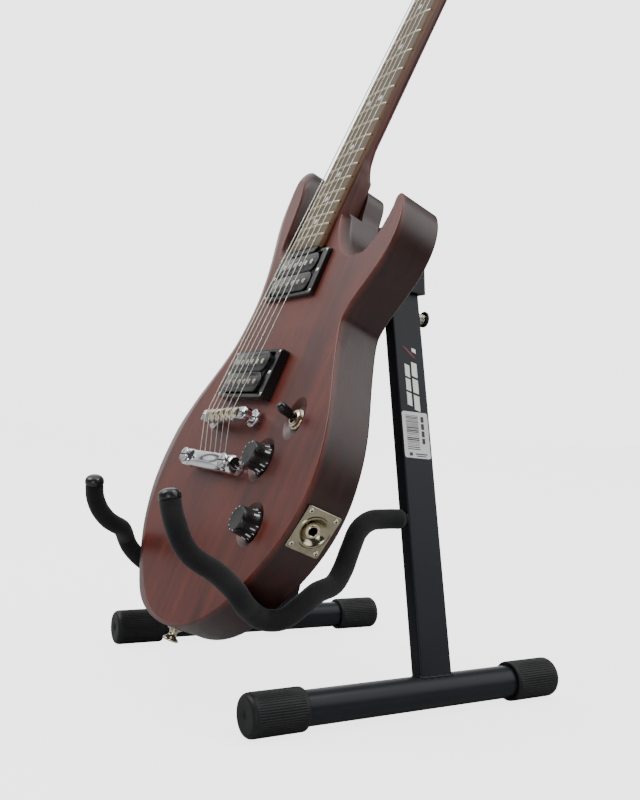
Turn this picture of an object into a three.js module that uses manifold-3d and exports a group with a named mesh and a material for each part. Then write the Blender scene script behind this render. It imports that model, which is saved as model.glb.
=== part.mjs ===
// Solid-body electric guitar resting on a folding A-frame floor stand.
// Units: millimetres. +Z is up, +X is the guitar's treble side, -Y is the side the guitar faces.
// The guitar leans back against a pad on the stand's head and sits in two foam-sleeved arms.
import * as THREE from 'three';
import { mergeVertices } from 'three/addons/utils/BufferGeometryUtils.js';
import Module from 'manifold-3d';

const wasm = await Module();
wasm.setup();

// ---------------------------------------------------------------- driving dimensions
const GAP = 0.3;                 // clearance between pieces that touch

// stand
const FOOT_X = 134.6;            // half the spread of the foot tubes, at mid length
const FOOT_Z = 15.75;            // height of the foot tube axis (outer radius of the end caps)
const FOOT_Y = -1.5;             // middle of the foot tubes, front to back
const FOOT_HALF = 141.5;         // half length over the end caps
const FOOT_TOE = 1.35;           // degrees, the tubes close up a little towards the back
const TUBE_R = 12.7;
const TUBE_WALL = 1.5;
const CAP_R = 15.75;
const CAP_LEN = 45;
const CAP_FLATS = 16;            // sides of the end caps
const LEG_Y = 19.3;              // where the legs stand on the foot tubes
const LEG_LEAN = 3.15;           // degrees, the leg plane leans back
const LEG_T = 11.2;              // leg tube, across
const LEG_W = 28.4;              // leg tube, front to back
const LEG_WALL = 1.6;
const LEG_SLOPE = 0.309;         // sideways travel per unit of height
const PIVOT_Z = 350;             // height of the leg pivots above the foot axis, along the leg plane
const PIVOT_X = FOOT_X - LEG_SLOPE * PIVOT_Z;
const HEAD_Z0 = 322, HEAD_Z1 = 378, HEAD_HW0 = 45.5, HEAD_HW1 = 34, HEAD_HY = 21.6, HEAD_WALL = 2.2;
const ROD_R = 4;
const FOAM_R = 8.1;
const FOAM_IN = ROD_R + 1.1;

// guitar
const LEAN = 21.498;             // degrees, the body leans back from upright
const BODY_ORIGIN = [0, -37.33, 366.86];   // on the body's top face, under the end of the fingerboard
const BODY_T = 38;
const SCALE = 628.65;            // open string length
const FB_END = 12;               // fingerboard overhang past the last fret
const NECK_ANGLE = 3.05;         // degrees
const FB_TOP = 7.3;              // fingerboard top above the body at its end
const BRIDGE_V = -(SCALE * Math.pow(2, -22 / 12) - FB_END);
const NUT_V = SCALE + BRIDGE_V;
const FRETS = 22;
const FB_HW0 = 26.8, FB_HW1 = 21.0;        // half widths at the body end and at the nut
const FB_T = 5.5;
const NECK_D = 18.0;             // neck depth under the fingerboard's top
const HEAD_TILT = 14;            // degrees, the peghead leans back from the neck
const HEAD_T = 14;
const STRING_N = [0.62, 0.52, 0.42, 0.36, 0.34, 0.33];   // radii, bass to treble
const NECK_PU_U = -24.2, BRIDGE_PU_U = -121.0;
const BRIDGE_N = 13.2, TAIL_U = -202;
const VOL = [70, -191.5], TONE = [95, -242], TOGGLE = [97, -156.5];
const KNOB_BASE = -3.4;

// ---------------------------------------------------------------- colours
const M = (c, r, m) => new THREE.MeshStandardMaterial({ color: c, roughness: r, metalness: m });
const steel = () => M(0x26292b, 0.5, 0.6);
const foamMat = () => M(0x14161a, 0.95, 0);
const rubber = () => M(0x17191c, 0.85, 0);
const chrome = () => M(0xc9ccd0, 0.15, 1);
const nickel = () => M(0xb9b29a, 0.3, 1);
const black = () => M(0x0f1012, 0.35, 0);
const bodyWood = () => M(0x4a211c, 0.45, 0);
const neckWood = () => M(0x43201a, 0.5, 0);
const rosewood = () => M(0x5f4430, 0.7, 0);

// ---------------------------------------------------------------- helpers
const D2R = Math.PI / 180;
const root = new THREE.Group();
function outward(g) {
  // faces turned to point out of the solid
  if (g.index) g = g.toNonIndexed();
  const p = g.attributes.position.array;
  let v = 0;
  for (let i = 0; i < p.length; i += 9) v += p[i] * (p[i + 4] * p[i + 8] - p[i + 5] * p[i + 7]) + p[i + 1] * (p[i + 5] * p[i + 6] - p[i + 3] * p[i + 8]) + p[i + 2] * (p[i + 3] * p[i + 7] - p[i + 4] * p[i + 6]);
  if (v >= 0) return g;
  for (let i = 0; i < p.length; i += 9) for (let k = 0; k < 3; k++) { const t = p[i + 3 + k]; p[i + 3 + k] = p[i + 6 + k]; p[i + 6 + k] = t; }
  g.deleteAttribute('uv');
  g.computeVertexNormals();
  return g;
}
function put(parent, name, geo, mat) {
  const m = new THREE.Mesh(outward(geo), mat);
  m.name = name;
  parent.add(m);
  return m;
}
function clean(g) {
  g = g.clone();
  g.deleteAttribute('normal'); g.deleteAttribute('uv');
  return mergeVertices(g, 1e-4);
}
function solid(g) {
  g = clean(outward(g));
  return new wasm.Manifold(new wasm.Mesh({ numProp: 3, vertProperties: new Float32Array(g.attributes.position.array), triVerts: new Uint32Array(g.index.array) }));
}
function geo(man) {
  const m = man.getMesh();
  const pos = new Float32Array(m.numVert * 3);
  for (let i = 0; i < m.numVert; i++) for (let k = 0; k < 3; k++) pos[3 * i + k] = m.vertProperties[m.numProp * i + k];
  let g = new THREE.BufferGeometry();
  g.setAttribute('position', new THREE.BufferAttribute(pos, 3));
  g.setIndex(new THREE.BufferAttribute(new Uint32Array(m.triVerts), 1));
  g = g.toNonIndexed();
  g.computeVertexNormals();
  return g;
}
const at = (g, x, y, z) => g.translate(x, y, z);
const box = (x0, x1, y0, y1, z0, z1) => at(new THREE.BoxGeometry(x1 - x0, y1 - y0, z1 - z0), (x0 + x1) / 2, (y0 + y1) / 2, (z0 + z1) / 2);
// cylinder between two heights on an axis: 'x', 'y' or 'z'
function cyl(axis, r, a, b, seg = 16, r2 = r) {
  const g = new THREE.CylinderGeometry(r2, r, b - a, seg);
  g.translate(0, (a + b) / 2, 0);
  if (axis === 'z') g.rotateX(Math.PI / 2);
  if (axis === 'x') g.rotateZ(-Math.PI / 2);
  return g;
}
// solid of revolution about +Z from [r, z] points
function turn(pts, seg = 20) {
  seg = Math.min(seg, 16);
  const g = new THREE.LatheGeometry(pts.map(p => new THREE.Vector2(p[0], p[1])), seg);
  g.rotateX(Math.PI / 2);
  return g;
}
const shapeOf = pts => new THREE.Shape(pts.map(p => new THREE.Vector2(p[0], p[1])));
const prism = (pts, z0, z1) => at(new THREE.ExtrudeGeometry(shapeOf(pts), { depth: z1 - z0, bevelEnabled: false }), 0, 0, z0);
function roundRect(x0, x1, y0, y1, r, n = 4) {
  const o = [];
  for (const [cx, cy, a] of [[x1 - r, y1 - r, 0], [x0 + r, y1 - r, 90], [x0 + r, y0 + r, 180], [x1 - r, y0 + r, 270]])
    for (let i = 0; i <= n; i++) { const t = (a + 90 * i / n) * D2R; o.push([cx + r * Math.cos(t), cy + r * Math.sin(t)]); }
  return o;
}
const rotated = (g, rx, ry, rz) => g.applyMatrix4(new THREE.Matrix4().makeRotationFromEuler(new THREE.Euler(rx * D2R, ry * D2R, rz * D2R)));
// a path that passes exactly through its points, one step each
class PathThrough extends THREE.Curve {
  constructor(p) { super(); this.p = p.map(q => new THREE.Vector3(...q)); }
  getPoint(t, target = new THREE.Vector3()) {
    const n = this.p.length - 1, s = Math.min(Math.max(t, 0), 1) * n, i = Math.min(Math.floor(s + 1e-9), n - 1);
    return target.copy(this.p[i]).lerp(this.p[i + 1], s - i);
  }
  getPointAt(u, target) { return this.getPoint(u, target); }
  getTangentAt(u, target = new THREE.Vector3()) {
    const n = this.p.length - 1, i = Math.round(u * n);
    const a = this.p[Math.max(i - 1, 0)], b = this.p[Math.min(i + 1, n)];
    return target.copy(b).sub(a).normalize();
  }
}
function disc(r, n, off = 0) { const o = []; for (let i = 0; i < n; i++) { const t = 2 * Math.PI * (i + off) / n; o.push([r * Math.cos(t), r * Math.sin(t)]); } return o; }
function rodAlong(pts, r, n) {
  return new THREE.ExtrudeGeometry(shapeOf(disc(r, n)), { steps: pts.length - 1, extrudePath: new PathThrough(pts), bevelEnabled: false });
}
function sleeveAlong(pts, rOut, rIn, n) {
  const s = shapeOf(disc(rOut, n));
  s.holes.push(new THREE.Path(disc(rIn, n).reverse().map(p => new THREE.Vector2(...p))));
  return new THREE.ExtrudeGeometry(s, { steps: pts.length - 1, extrudePath: new PathThrough(pts), bevelEnabled: false });
}

// ================================================================= STAND
// leg plane: origin on the foot axes, x across, z up the plane, y back
const legPlane = new THREE.Group();
legPlane.position.set(0, LEG_Y, FOOT_Z);
legPlane.rotation.x = -LEG_LEAN * D2R;
root.add(legPlane);

// head housing: sheet-steel cap, open underneath, its sides following the legs
{
  const outer = prism([[-HEAD_HW0, HEAD_Z0], [HEAD_HW0, HEAD_Z0], [HEAD_HW1, HEAD_Z1 - 3], [HEAD_HW1 - 3, HEAD_Z1], [-HEAD_HW1 + 3, HEAD_Z1], [-HEAD_HW1, HEAD_Z1 - 3]], -HEAD_HY, HEAD_HY).rotateX(Math.PI / 2);
  const w = HEAD_WALL;
  const inner = prism([[-HEAD_HW0 + w - 0.4, HEAD_Z0 - 2], [HEAD_HW0 - w + 0.4, HEAD_Z0 - 2], [HEAD_HW1 - w - 0.4, HEAD_Z1 - w - 1], [-HEAD_HW1 + w + 0.4, HEAD_Z1 - w - 1]], -HEAD_HY + w, HEAD_HY - w).rotateX(Math.PI / 2);
  let h = solid(outer).subtract(solid(inner));
  for (const s of [-1, 1]) h = h.subtract(solid(at(cyl('y', 4.3, -30, 30, 16), s * PIVOT_X, 0, PIVOT_Z)));
  put(legPlane, 'head_housing', geo(h), steel());
}
// soft pad on the front of the head, its face following the leaning guitar's back
{
  const p = [[-21.9, 342], [-29.5, 345], [-32.6, 350], [-32.9, 353.5], [-27.2, 371], [-25.6, 375.4], [-23.4, 376.6], [-21.9, 376.6]];
  const g = prism(p, -31, 31);
  // shape axes (y, z) pushed along x
  g.applyMatrix4(new THREE.Matrix4().set(0, 0, 1, 0, 1, 0, 0, 0, 0, 1, 0, 0, 0, 0, 0, 1));
  put(legPlane, 'back_rest_pad', g, rubber());
}
// legs: rectangular tubes pivoting on bolts in the head
const legLen = Math.hypot(LEG_SLOPE * PIVOT_Z, PIVOT_Z);
const legAng = Math.atan(LEG_SLOPE) / D2R;
const LOCK_Z = 300.5, LOCK_X = FOOT_X - LEG_SLOPE * LOCK_Z;
const lockS = Math.hypot(PIVOT_X - LOCK_X, PIVOT_Z - LOCK_Z);      // pin to pivot along the leg
function legGroup(side) {
  const g = new THREE.Group();
  g.position.set(side * PIVOT_X, 0, PIVOT_Z);
  g.rotation.y = -side * legAng * D2R;         // local -z runs down the leg
  legPlane.add(g);
  return g;
}
function legSolid(side) {
  let l = solid(box(-LEG_T / 2, LEG_T / 2, -LEG_W / 2, LEG_W / 2, -legLen + 14.2, 13));
  l = l.subtract(solid(box(-LEG_T / 2 + LEG_WALL, LEG_T / 2 - LEG_WALL, -LEG_W / 2 + LEG_WALL, LEG_W / 2 - LEG_WALL, -legLen, 20)));
  l = l.subtract(solid(cyl('y', 4.3, -20, 20, 16)));
  if (side > 0) l = l.subtract(solid(at(cyl('y', 3.1, -20, 20, 16), 0, 0, -lockS)));
  return l;
}
const rightLeg = legGroup(1), leftLeg = legGroup(-1);
put(rightLeg, 'right_leg', geo(legSolid(1)), steel());
put(leftLeg, 'left_leg', geo(legSolid(-1)), steel());
// pivot bolts, domed head behind and nut in front
function boltGeo(front) {
  const f = front;
  return turn([[0, -f], [5.4, -f], [6.2, -f + 1.2], [6.2, -f + 3.4], [4, -f + 3.4], [4, 22], [7.2, 22], [7.2, 23.4], [5.2, 25], [0, 25.6]], 16).rotateX(-Math.PI / 2);
}
for (const [s, n] of [[1, 'right'], [-1, 'left']]) {
  // the nut sits inside the front wall of the housing
  const g = turn([[0, -19.0], [6, -19.0], [6, -18.2], [4, -18.2], [4, 21.9], [7.2, 21.9], [7.2, 23.2], [5, 24.8], [0, 25.3]], 16);
  g.rotateX(-Math.PI / 2); // +z of the turned piece points along +y
  put(legPlane, n + '_pivot_bolt', at(g, s * PIVOT_X, 0, PIVOT_Z), steel());
}
// lock plate in front of the right leg, with an arc slot about the pivot
{
  const y0 = -17.7, y1 = -15.7;
  const pts = [[12, 344], [12, 300], [17, 288.5], [44, 288.5], [51, 296], [51, 306], [40, 324], [35.6, 344]];
  let p = solid(prism(pts, -y1, -y0).rotateX(Math.PI / 2));
  p = p.translate([0, 0, 0]);
  // arc slot made of a ring segment
  const R = lockS, hw = 3.2, a0 = (legAng + 0.6), a1 = (legAng - 15.8);
  const outer = [], inner = [];
  for (let i = 0; i <= 10; i++) { const a = (a0 + (a1 - a0) * i / 10) * D2R; outer.push([PIVOT_X + (R + hw) * Math.sin(a), PIVOT_Z - (R + hw) * Math.cos(a)]); inner.push([PIVOT_X + (R - hw) * Math.sin(a), PIVOT_Z - (R - hw) * Math.cos(a)]); }
  p = p.subtract(solid(prism(outer.concat(inner.reverse()), 10, 25).rotateX(Math.PI / 2)));
  for (const a of [a0, a1]) p = p.subtract(solid(at(cyl('y', hw, -25, -10, 16), PIVOT_X + R * Math.sin(a * D2R), 0, PIVOT_Z - R * Math.cos(a * D2R))));
  const pm = p;
  put(legPlane, 'lock_plate', geo(pm), steel());
}
// spring-loaded lock pin through the right leg, button at the back
{
  const g = turn([[0, -21.2], [4.4, -21.2], [4.4, -18.1], [2.5, -18.1], [2.5, 22.6], [7.2, 22.6], [7.2, 24.2], [6.2, 25.2], [0, 25.4]], 18).rotateX(-Math.PI / 2);
  put(rightLeg, 'lock_pin', at(g, 0, 0, -lockS), steel());
  const coil = [];
  const turns = 4, steps = 32;
  for (let i = 0; i <= steps; i++) { const t = i / steps, a = 2 * Math.PI * turns * t; coil.push([3.9 * Math.cos(a), 15.2 + 6.4 * t, 3.9 * Math.sin(a)]); }
  put(rightLeg, 'lock_spring', at(rodAlong(coil, 0.6, 5), 0, 0, -lockS), nickel());
}
// foot tubes and their end caps; the left tube sits a little further forward on its leg
const LEFT_FOOT_FWD = 7;
function footGroup(side) {
  const g = new THREE.Group();
  g.position.set(side * FOOT_X, FOOT_Y - (side < 0 ? LEFT_FOOT_FWD : 0), FOOT_Z);
  g.rotation.z = side * FOOT_TOE * D2R;
  root.add(g);
  return g;
}
for (const [s, n] of [[1, 'right'], [-1, 'left']]) {
  const fg = footGroup(s);
  const L = FOOT_HALF - 4.3;
  const tube = turn([[TUBE_R, -L], [TUBE_R, L], [TUBE_R - TUBE_WALL, L], [TUBE_R - TUBE_WALL, -L], [TUBE_R, -L]], 24).rotateX(-Math.PI / 2);
  put(fg, n + '_foot_tube', tube, steel());
  for (const [e, m] of [[-1, 'front'], [1, 'rear']]) {
    // a cup over the tube's end, its rim in flats so that one lies on the floor
    const o = FOOT_HALF, i = FOOT_HALF - CAP_LEN, k = 1 / Math.cos(Math.PI / CAP_FLATS);
    const pts = [[0, o], [(CAP_R - 2.6) * k, o], [CAP_R * k, o - 2.6], [CAP_R * k, i], [(TUBE_R + GAP) * k, i], [(TUBE_R + GAP) * k, o - 4], [0, o - 4]];
    const g = new THREE.LatheGeometry(pts.map(p => new THREE.Vector2(p[0], p[1])), CAP_FLATS, Math.PI / CAP_FLATS);
    if (e < 0) g.rotateZ(Math.PI);
    put(fg, n + '_' + m + '_foot_cap', g, rubber());
  }
}
// arms: bent steel rod welded to the front of each leg, in a foam sleeve with a hard end cap
const ARM = [[96.1, 11.6, 144.0], [96.2, 4.8, 144.5], [96.6, -8.0, 144.6], [99.0, -23.3, 143.7], [103.0, -36.5, 136.8], [107.0, -45.4, 123.2], [110.0, -53.4, 107.9], [114.0, -63.0, 98.1], [119.0, -80.0, 93.6], [122.5, -93.5, 86.2], [121.0, -108.5, 76.5], [118.0, -122.1, 76.3], [121.5, -135.3, 84.3], [125.8, -143.8, 92.3], [124.8, -148.0, 98.4], [118.0, -152.2, 104.2], [109.0, -158.3, 110.6], [102.8, -166.6, 116.0], [100.8, -173.6, 121.3], [101.0, -181.3, 131.5], [99.9, -186.2, 143.7], [96.4, -188.2, 153.4], [94.6, -189.0, 161.0]];
// the left arm is bent a little differently at its free end: rise of each point
const LEFT_RISE = [0, 0, 0, 0, 0, 0, 0, 0, -0.6, -1.4, -1.2, -0.9, -0.2, 1.8, 3.6, 3.8, 3.0, 1.8, 1, 0, -1.5, -4, -5.5];
const ARM_STEPS = 34;
const armPts = (c, a, b, n) => { const o = []; for (let i = 0; i <= n; i++) { const p = c.getPointAt(a + (b - a) * i / n); o.push([p.x, p.y, p.z]); } return o; };

for (const [s, n] of [[1, 'right'], [-1, 'left']]) {
  const curve = new THREE.CatmullRomCurve3(ARM.map((p, i) => new THREE.Vector3(s * p[0], p[1], p[2] + (s < 0 ? LEFT_RISE[i] : 0))), false, 'centripetal');
  put(root, n + '_arm_rod', rodAlong(armPts(curve, 0.0, 0.997, ARM_STEPS), ROD_R, 6), steel());
  put(root, n + '_arm_foam', sleeveAlong(armPts(curve, 0.016, 0.997, ARM_STEPS), FOAM_R, FOAM_IN, 8), foamMat());
  // end cap: short domed plug in the direction of the tip
  const e = curve.getPointAt(1), d = curve.getTangentAt(1);
  const g = turn([[0, 0.4], [8.3, 0.4], [8.3, 2.2], [7.2, 4.4], [5.0, 5.9], [2.5, 6.6], [0, 6.8]], 14);
  const q = new THREE.Quaternion().setFromUnitVectors(new THREE.Vector3(0, 0, 1), d);
  g.applyQuaternion(q);
  put(root, n + '_arm_tip', at(g, e.x, e.y, e.z), rubber());
}

// ================================================================= GUITAR
// body frame: x to the treble side, y up the body, z out of its front face
const guitar = new THREE.Group();
guitar.position.set(...BODY_ORIGIN);
guitar.rotation.x = (90 - LEAN) * D2R;
root.add(guitar);

// outline, counter-clockwise from the tail: [x, y, rim width, rim depth]
const OUT = [
  [0, -337, 4, 3], [30, -335, 3, 2.5], [60, -327.5, 2, 2], [88, -313.5, 1.4, 1.4], [112, -294, 1.4, 1.4], [130, -273, 1.4, 1.4], [145, -252, 1.4, 1.4], [154.5, -231, 1.4, 1.4], [158.4, -210, 1.4, 1.4], [157.1, -190, 1.4, 1.4], [152.8, -171, 1.4, 1.4], [146, -153, 1.4, 1.4], [137.4, -136, 1.4, 1.4], [127.8, -118.5, 1.4, 1.4], [118.5, -100.5, 1.4, 1.4], [110.8, -84, 1.4, 1.4], [107.4, -72, 1.4, 1.4], [109.9, -62, 1.4, 1.4], [115.6, -51, 1.4, 1.4], [122.8, -39.5, 1.4, 1.4], [130.5, -25, 1.4, 1.4], [135, -9, 1.4, 1.4], [135.5, 6, 1.4, 1.4], [132.3, 19, 1.4, 1.4], [126.9, 29, 1.4, 1.4], [120.3, 35.5, 1.4, 1.4], [116, 33, 1.4, 1.4], [115.8, 24, 1.4, 1.4], [113.5, 14, 1.6, 1.6], [109, 5, 3, 3], [103, -1.5, 5, 5], [95, -6, 7.5, 7.5], [86, -7.5, 8, 8], [76, -6.5, 8, 8], [66, -2, 8, 8], [57, 5, 8, 8], [50, 13.5, 8, 8], [44.5, 22.5, 8, 8], [40, 31.5, 7, 7], [35.5, 40, 1, 1], [33, 50, 1, 1], [30.5, 59, 1, 1], [25.5, 66.5, 1, 1], [14.5, 71.6, 1, 1], [0, 73.2, 1, 1], [-14.5, 71.6, 1, 1], [-25.5, 66.5, 1, 1], [-30.5, 59, 1, 1], [-33, 50, 1, 1], [-35.5, 40, 1, 1], [-39, 31.5, 5, 5], [-42, 22.5, 6, 6], [-46, 14, 6, 6], [-51, 8.5, 6, 6], [-57, 8, 6, 6], [-62, 12, 5, 5], [-64.8, 20, 3, 3], [-66, 34, 2, 2], [-67.5, 52, 2, 2], [-70.5, 72, 2, 3]];
// bass horn and bass side: [x, y, ridge x, ridge y, rim depth]
const BASS = [
  [-77, 93, -77, 87, 8], [-87, 106, -84, 92, 11], [-98, 112.5, -90, 93, 13], [-107.2, 113, -92, 91, 13.6], [-114.6, 107, -92.8, 87, 14.3], [-120.3, 95, -92.1, 81, 15.2], [-123.5, 78, -90.2, 72, 16], [-123, 60, -88, 57, 16], [-118.5, 42, -83.5, 40, 16], [-111.5, 24, -77.5, 23, 16], [-105, 7, -71.5, 7, 16], [-100.5, -9, -67, -8, 16], [-97.5, -25, -63.5, -24, 16], [-96.5, -38, -61.5, -38, 16], [-98, -52, -62, -53.5, 16], [-101, -66, -64.5, -69, 16], [-105.3, -80, -68.9, -86, 15.8], [-113.5, -97, -78.6, -105, 14.9], [-124, -114, -90.8, -123, 13.7], [-136, -131, -102.4, -140, 13], [-147.3, -148, -111, -155.5, 13], [-157.7, -167, -116.5, -172, 13], [-162.3, -187, -120, -189, 13], [-163.8, -208, -121, -208, 13], [-160.4, -230, -120, -226, 13], [-150.5, -251, -116, -243, 12.5], [-137, -271, -109, -260, 12], [-118, -290.5, -97, -277.5, 11], [-96, -309.5, -80, -295, 9.5], [-66, -327, -56, -312.5, 7], [-32, -335, -28, -327, 4.5]];
function bodySolid() {
  // rows of matched rim points: outer edge, ridge (start of the flat front), depth of the outer edge
  const P = [], n0 = OUT.length;
  const rows = [];
  for (let i = 0; i < n0; i++) rows.push({ x: OUT[i][0], y: OUT[i][1], w: OUT[i][2], d: OUT[i][3] });
  for (const b of BASS) rows.push({ x: b[0], y: b[1], rx: b[2], ry: b[3], d: b[4] });
  const n = rows.length;
  for (let i = 0; i < n; i++) {
    const r = rows[i];
    if (r.rx === undefined) {
      const a = rows[(i + n - 1) % n], b = rows[(i + 1) % n];
      const tx = b.x - a.x, ty = b.y - a.y, l = Math.hypot(tx, ty);
      r.rx = r.x - ty / l * r.w; r.ry = r.y + tx / l * r.w;
    }
  }
  const curve = f => new THREE.CatmullRomCurve3(rows.map(f), true, 'centripetal');
  const SUB = 1, N = n * SUB;
  const sample = c => { const o = []; for (let i = 0; i < N; i++) o.push(c.getPoint(i / N)); return o; };
  const edge = sample(curve(r => new THREE.Vector3(r.x, r.y, -r.d)));
  const mid = edge.map(() => null);
  const ridge = sample(curve(r => new THREE.Vector3(r.rx, r.ry, 0)));
  for (let i = 0; i < N; i++) mid[i] = new THREE.Vector3(edge[i].x * 0.62 + ridge[i].x * 0.38, edge[i].y * 0.62 + ridge[i].y * 0.38, edge[i].z * 0.36);
  const back1 = edge.map(p => new THREE.Vector3(p.x, p.y, -BODY_T + 2.2));
  const back0 = edge.map((p, i) => { const a = edge[(i + N - 1) % N], b = edge[(i + 1) % N]; const tx = b.x - a.x, ty = b.y - a.y, l = Math.hypot(tx, ty); return new THREE.Vector3(p.x - ty / l * 2.2, p.y + tx / l * 2.2, -BODY_T); });
  const rings = [back0, back1, edge, mid, ridge.map(p => new THREE.Vector3(p.x, p.y, 0))];
  const pos = [], idx = [];
  for (const r of rings) for (const p of r) pos.push(p.x, p.y, p.z);
  for (let k = 0; k < rings.length - 1; k++) for (let i = 0; i < N; i++) {
    const j = (i + 1) % N, a = k * N + i, b = k * N + j, c = (k + 1) * N + j, d = (k + 1) * N + i;
    idx.push(a, b, c, a, c, d);
  }
  const cap = (ring, off, flip) => {
    const f = THREE.ShapeUtils.triangulateShape(ring.map(p => new THREE.Vector2(p.x, p.y)), []);
    for (const t of f) flip ? idx.push(off + t[0], off + t[2], off + t[1]) : idx.push(off + t[0], off + t[1], off + t[2]);
  };
  cap(rings[0], 0, true); cap(rings[4], 4 * N, false);
  const g = new THREE.BufferGeometry();
  g.setAttribute('position', new THREE.BufferAttribute(new Float32Array(pos), 3));
  g.setIndex(idx);
  return solid(g);
}
const nf = new THREE.Group();        // neck frame: y along the strings, z out of the fingerboard, 0 at its top
nf.position.set(0, 0, FB_TOP);
nf.rotation.x = -NECK_ANGLE * D2R;
guitar.add(nf);
nf.updateMatrix();
const neckToBody = nf.matrix.clone();
const vToBody = (x, y, z) => new THREE.Vector3(x, y, z).applyMatrix4(neckToBody);

// jack plate seat on the lower treble rim
const JA = [160.4, -217.2], JB = [147.6, -249.0];
const jt = new THREE.Vector2(JB[0] - JA[0], JB[1] - JA[1]); const jLen = jt.length(); jt.normalize();
const jn = new THREE.Vector2(-jt.y, jt.x);                       // outward
const jackAng = Math.atan2(jn.y, jn.x) / D2R;
const JC = [(JA[0] + JB[0]) / 2 - jn.x * 1.2, (JA[1] + JB[1]) / 2 - jn.y * 1.2];
const JACK_N = -18.9;
const jackFrame = () => new THREE.Matrix4().makeTranslation(JC[0], JC[1], JACK_N).multiply(new THREE.Matrix4().makeRotationZ(jackAng * D2R));
// in the jack frame +x is straight out of the rim, y along the rim, z across it

const cavity = [[60, -160], [78, -140], [112, -140], [122, -158], [128, -190], [127, -222], [116, -250], [98, -262], [80, -258], [62, -232], [52, -200]];
const grow = (pts, d) => { const c = pts.reduce((a, p) => [a[0] + p[0] / pts.length, a[1] + p[1] / pts.length], [0, 0]); return pts.map(p => { const l = Math.hypot(p[0] - c[0], p[1] - c[1]); return [p[0] + (p[0] - c[0]) / l * d, p[1] + (p[1] - c[1]) / l * d]; }); };
{
  let b = bodySolid();
  // neck pocket, with the ledge under the neck's heel carried out to the end
  b = b.subtract(solid(box(-28, 28, 1.4, 90, -18.3, 20)));
  b = b.subtract(solid(prism([[-60, 90], [-60, 60], [-41, 37], [-35.5, 32.5], [-28, 32.5], [28, 32.5], [35.5, 32.5], [41, 37], [60, 60], [60, 90]], -18.3, 20)));
  // pickup wells, joined by a wiring channel to the control cavity
  b = b.subtract(solid(prism(roundRect(-35.5, 35.5, NECK_PU_U - 19.5, NECK_PU_U + 19.5, 4), -24, 5)));
  b = b.subtract(solid(prism(roundRect(-35.5, 35.5, BRIDGE_PU_U - 19.5, BRIDGE_PU_U + 19.5, 4), -24, 5)));
  b = b.subtract(solid(at(cyl('x', 4, 20, 75, 10), 0, -145, -20).applyMatrix4(new THREE.Matrix4())));
  // control cavity from the back and the recess for its cover
  b = b.subtract(solid(prism(cavity, -50, -7)));
  b = b.subtract(solid(prism(grow(cavity, 6.3), -50, -BODY_T + 2)));
  // dished seats of the knobs and the switch
  for (const [x, y] of [VOL, TONE]) b = b.subtract(solid(at(turn([[0, -4], [12.6, -4], [17.6, 0.01], [17.6, 3], [0, 3]], 24), x, y, 0)));
  for (const [x, y] of [VOL, TONE]) b = b.subtract(solid(at(cyl('z', 4.6, -12, 2, 14), x, y, 0)));
  b = b.subtract(solid(turn([[0, -3.4], [10.7, -3.4], [16.5, 0.01], [16.5, 3], [0, 3]], 24).applyMatrix4(new THREE.Matrix4().makeScale(0.86, 1.1, 1)).translate(TOGGLE[0], TOGGLE[1], 0)));
  b = b.subtract(solid(at(cyl('z', 6.4, -12, 2, 16), TOGGLE[0], TOGGLE[1], 0)));
  // flat seat and bore for the jack
  b = b.subtract(solid(box(0, 8, -jLen / 2 - 0.4, jLen / 2 + 0.4, -14.6, 14.6).applyMatrix4(jackFrame())));
  b = b.subtract(solid(cyl('x', 10.5, -34, 4, 18).applyMatrix4(jackFrame())));
  // post and stud bores
  for (const s of [-1, 1]) {
    b = b.subtract(solid(at(cyl('z', 3.1, -16, 2, 12), s * 37, -162.2 - s * -2.2, 0)));
    b = b.subtract(solid(at(cyl('z', 4.3, -16, 2, 12), s * 41, TAIL_U, 0)));
  }
  // strap button screws
  b = b.subtract(solid(at(cyl('y', 1.9, -340, -322, 10), 1, 0, -19)));
  b = b.subtract(solid(at(cyl('z', 1.9, -40, -25.5, 10), 0, 56, 0)));
  put(guitar, 'body', geo(b), bodyWood());
}
// rear control cover
put(guitar, 'control_cover', prism(grow(cavity, 6), -BODY_T + 0.05, -BODY_T + 1.7), black());

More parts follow.
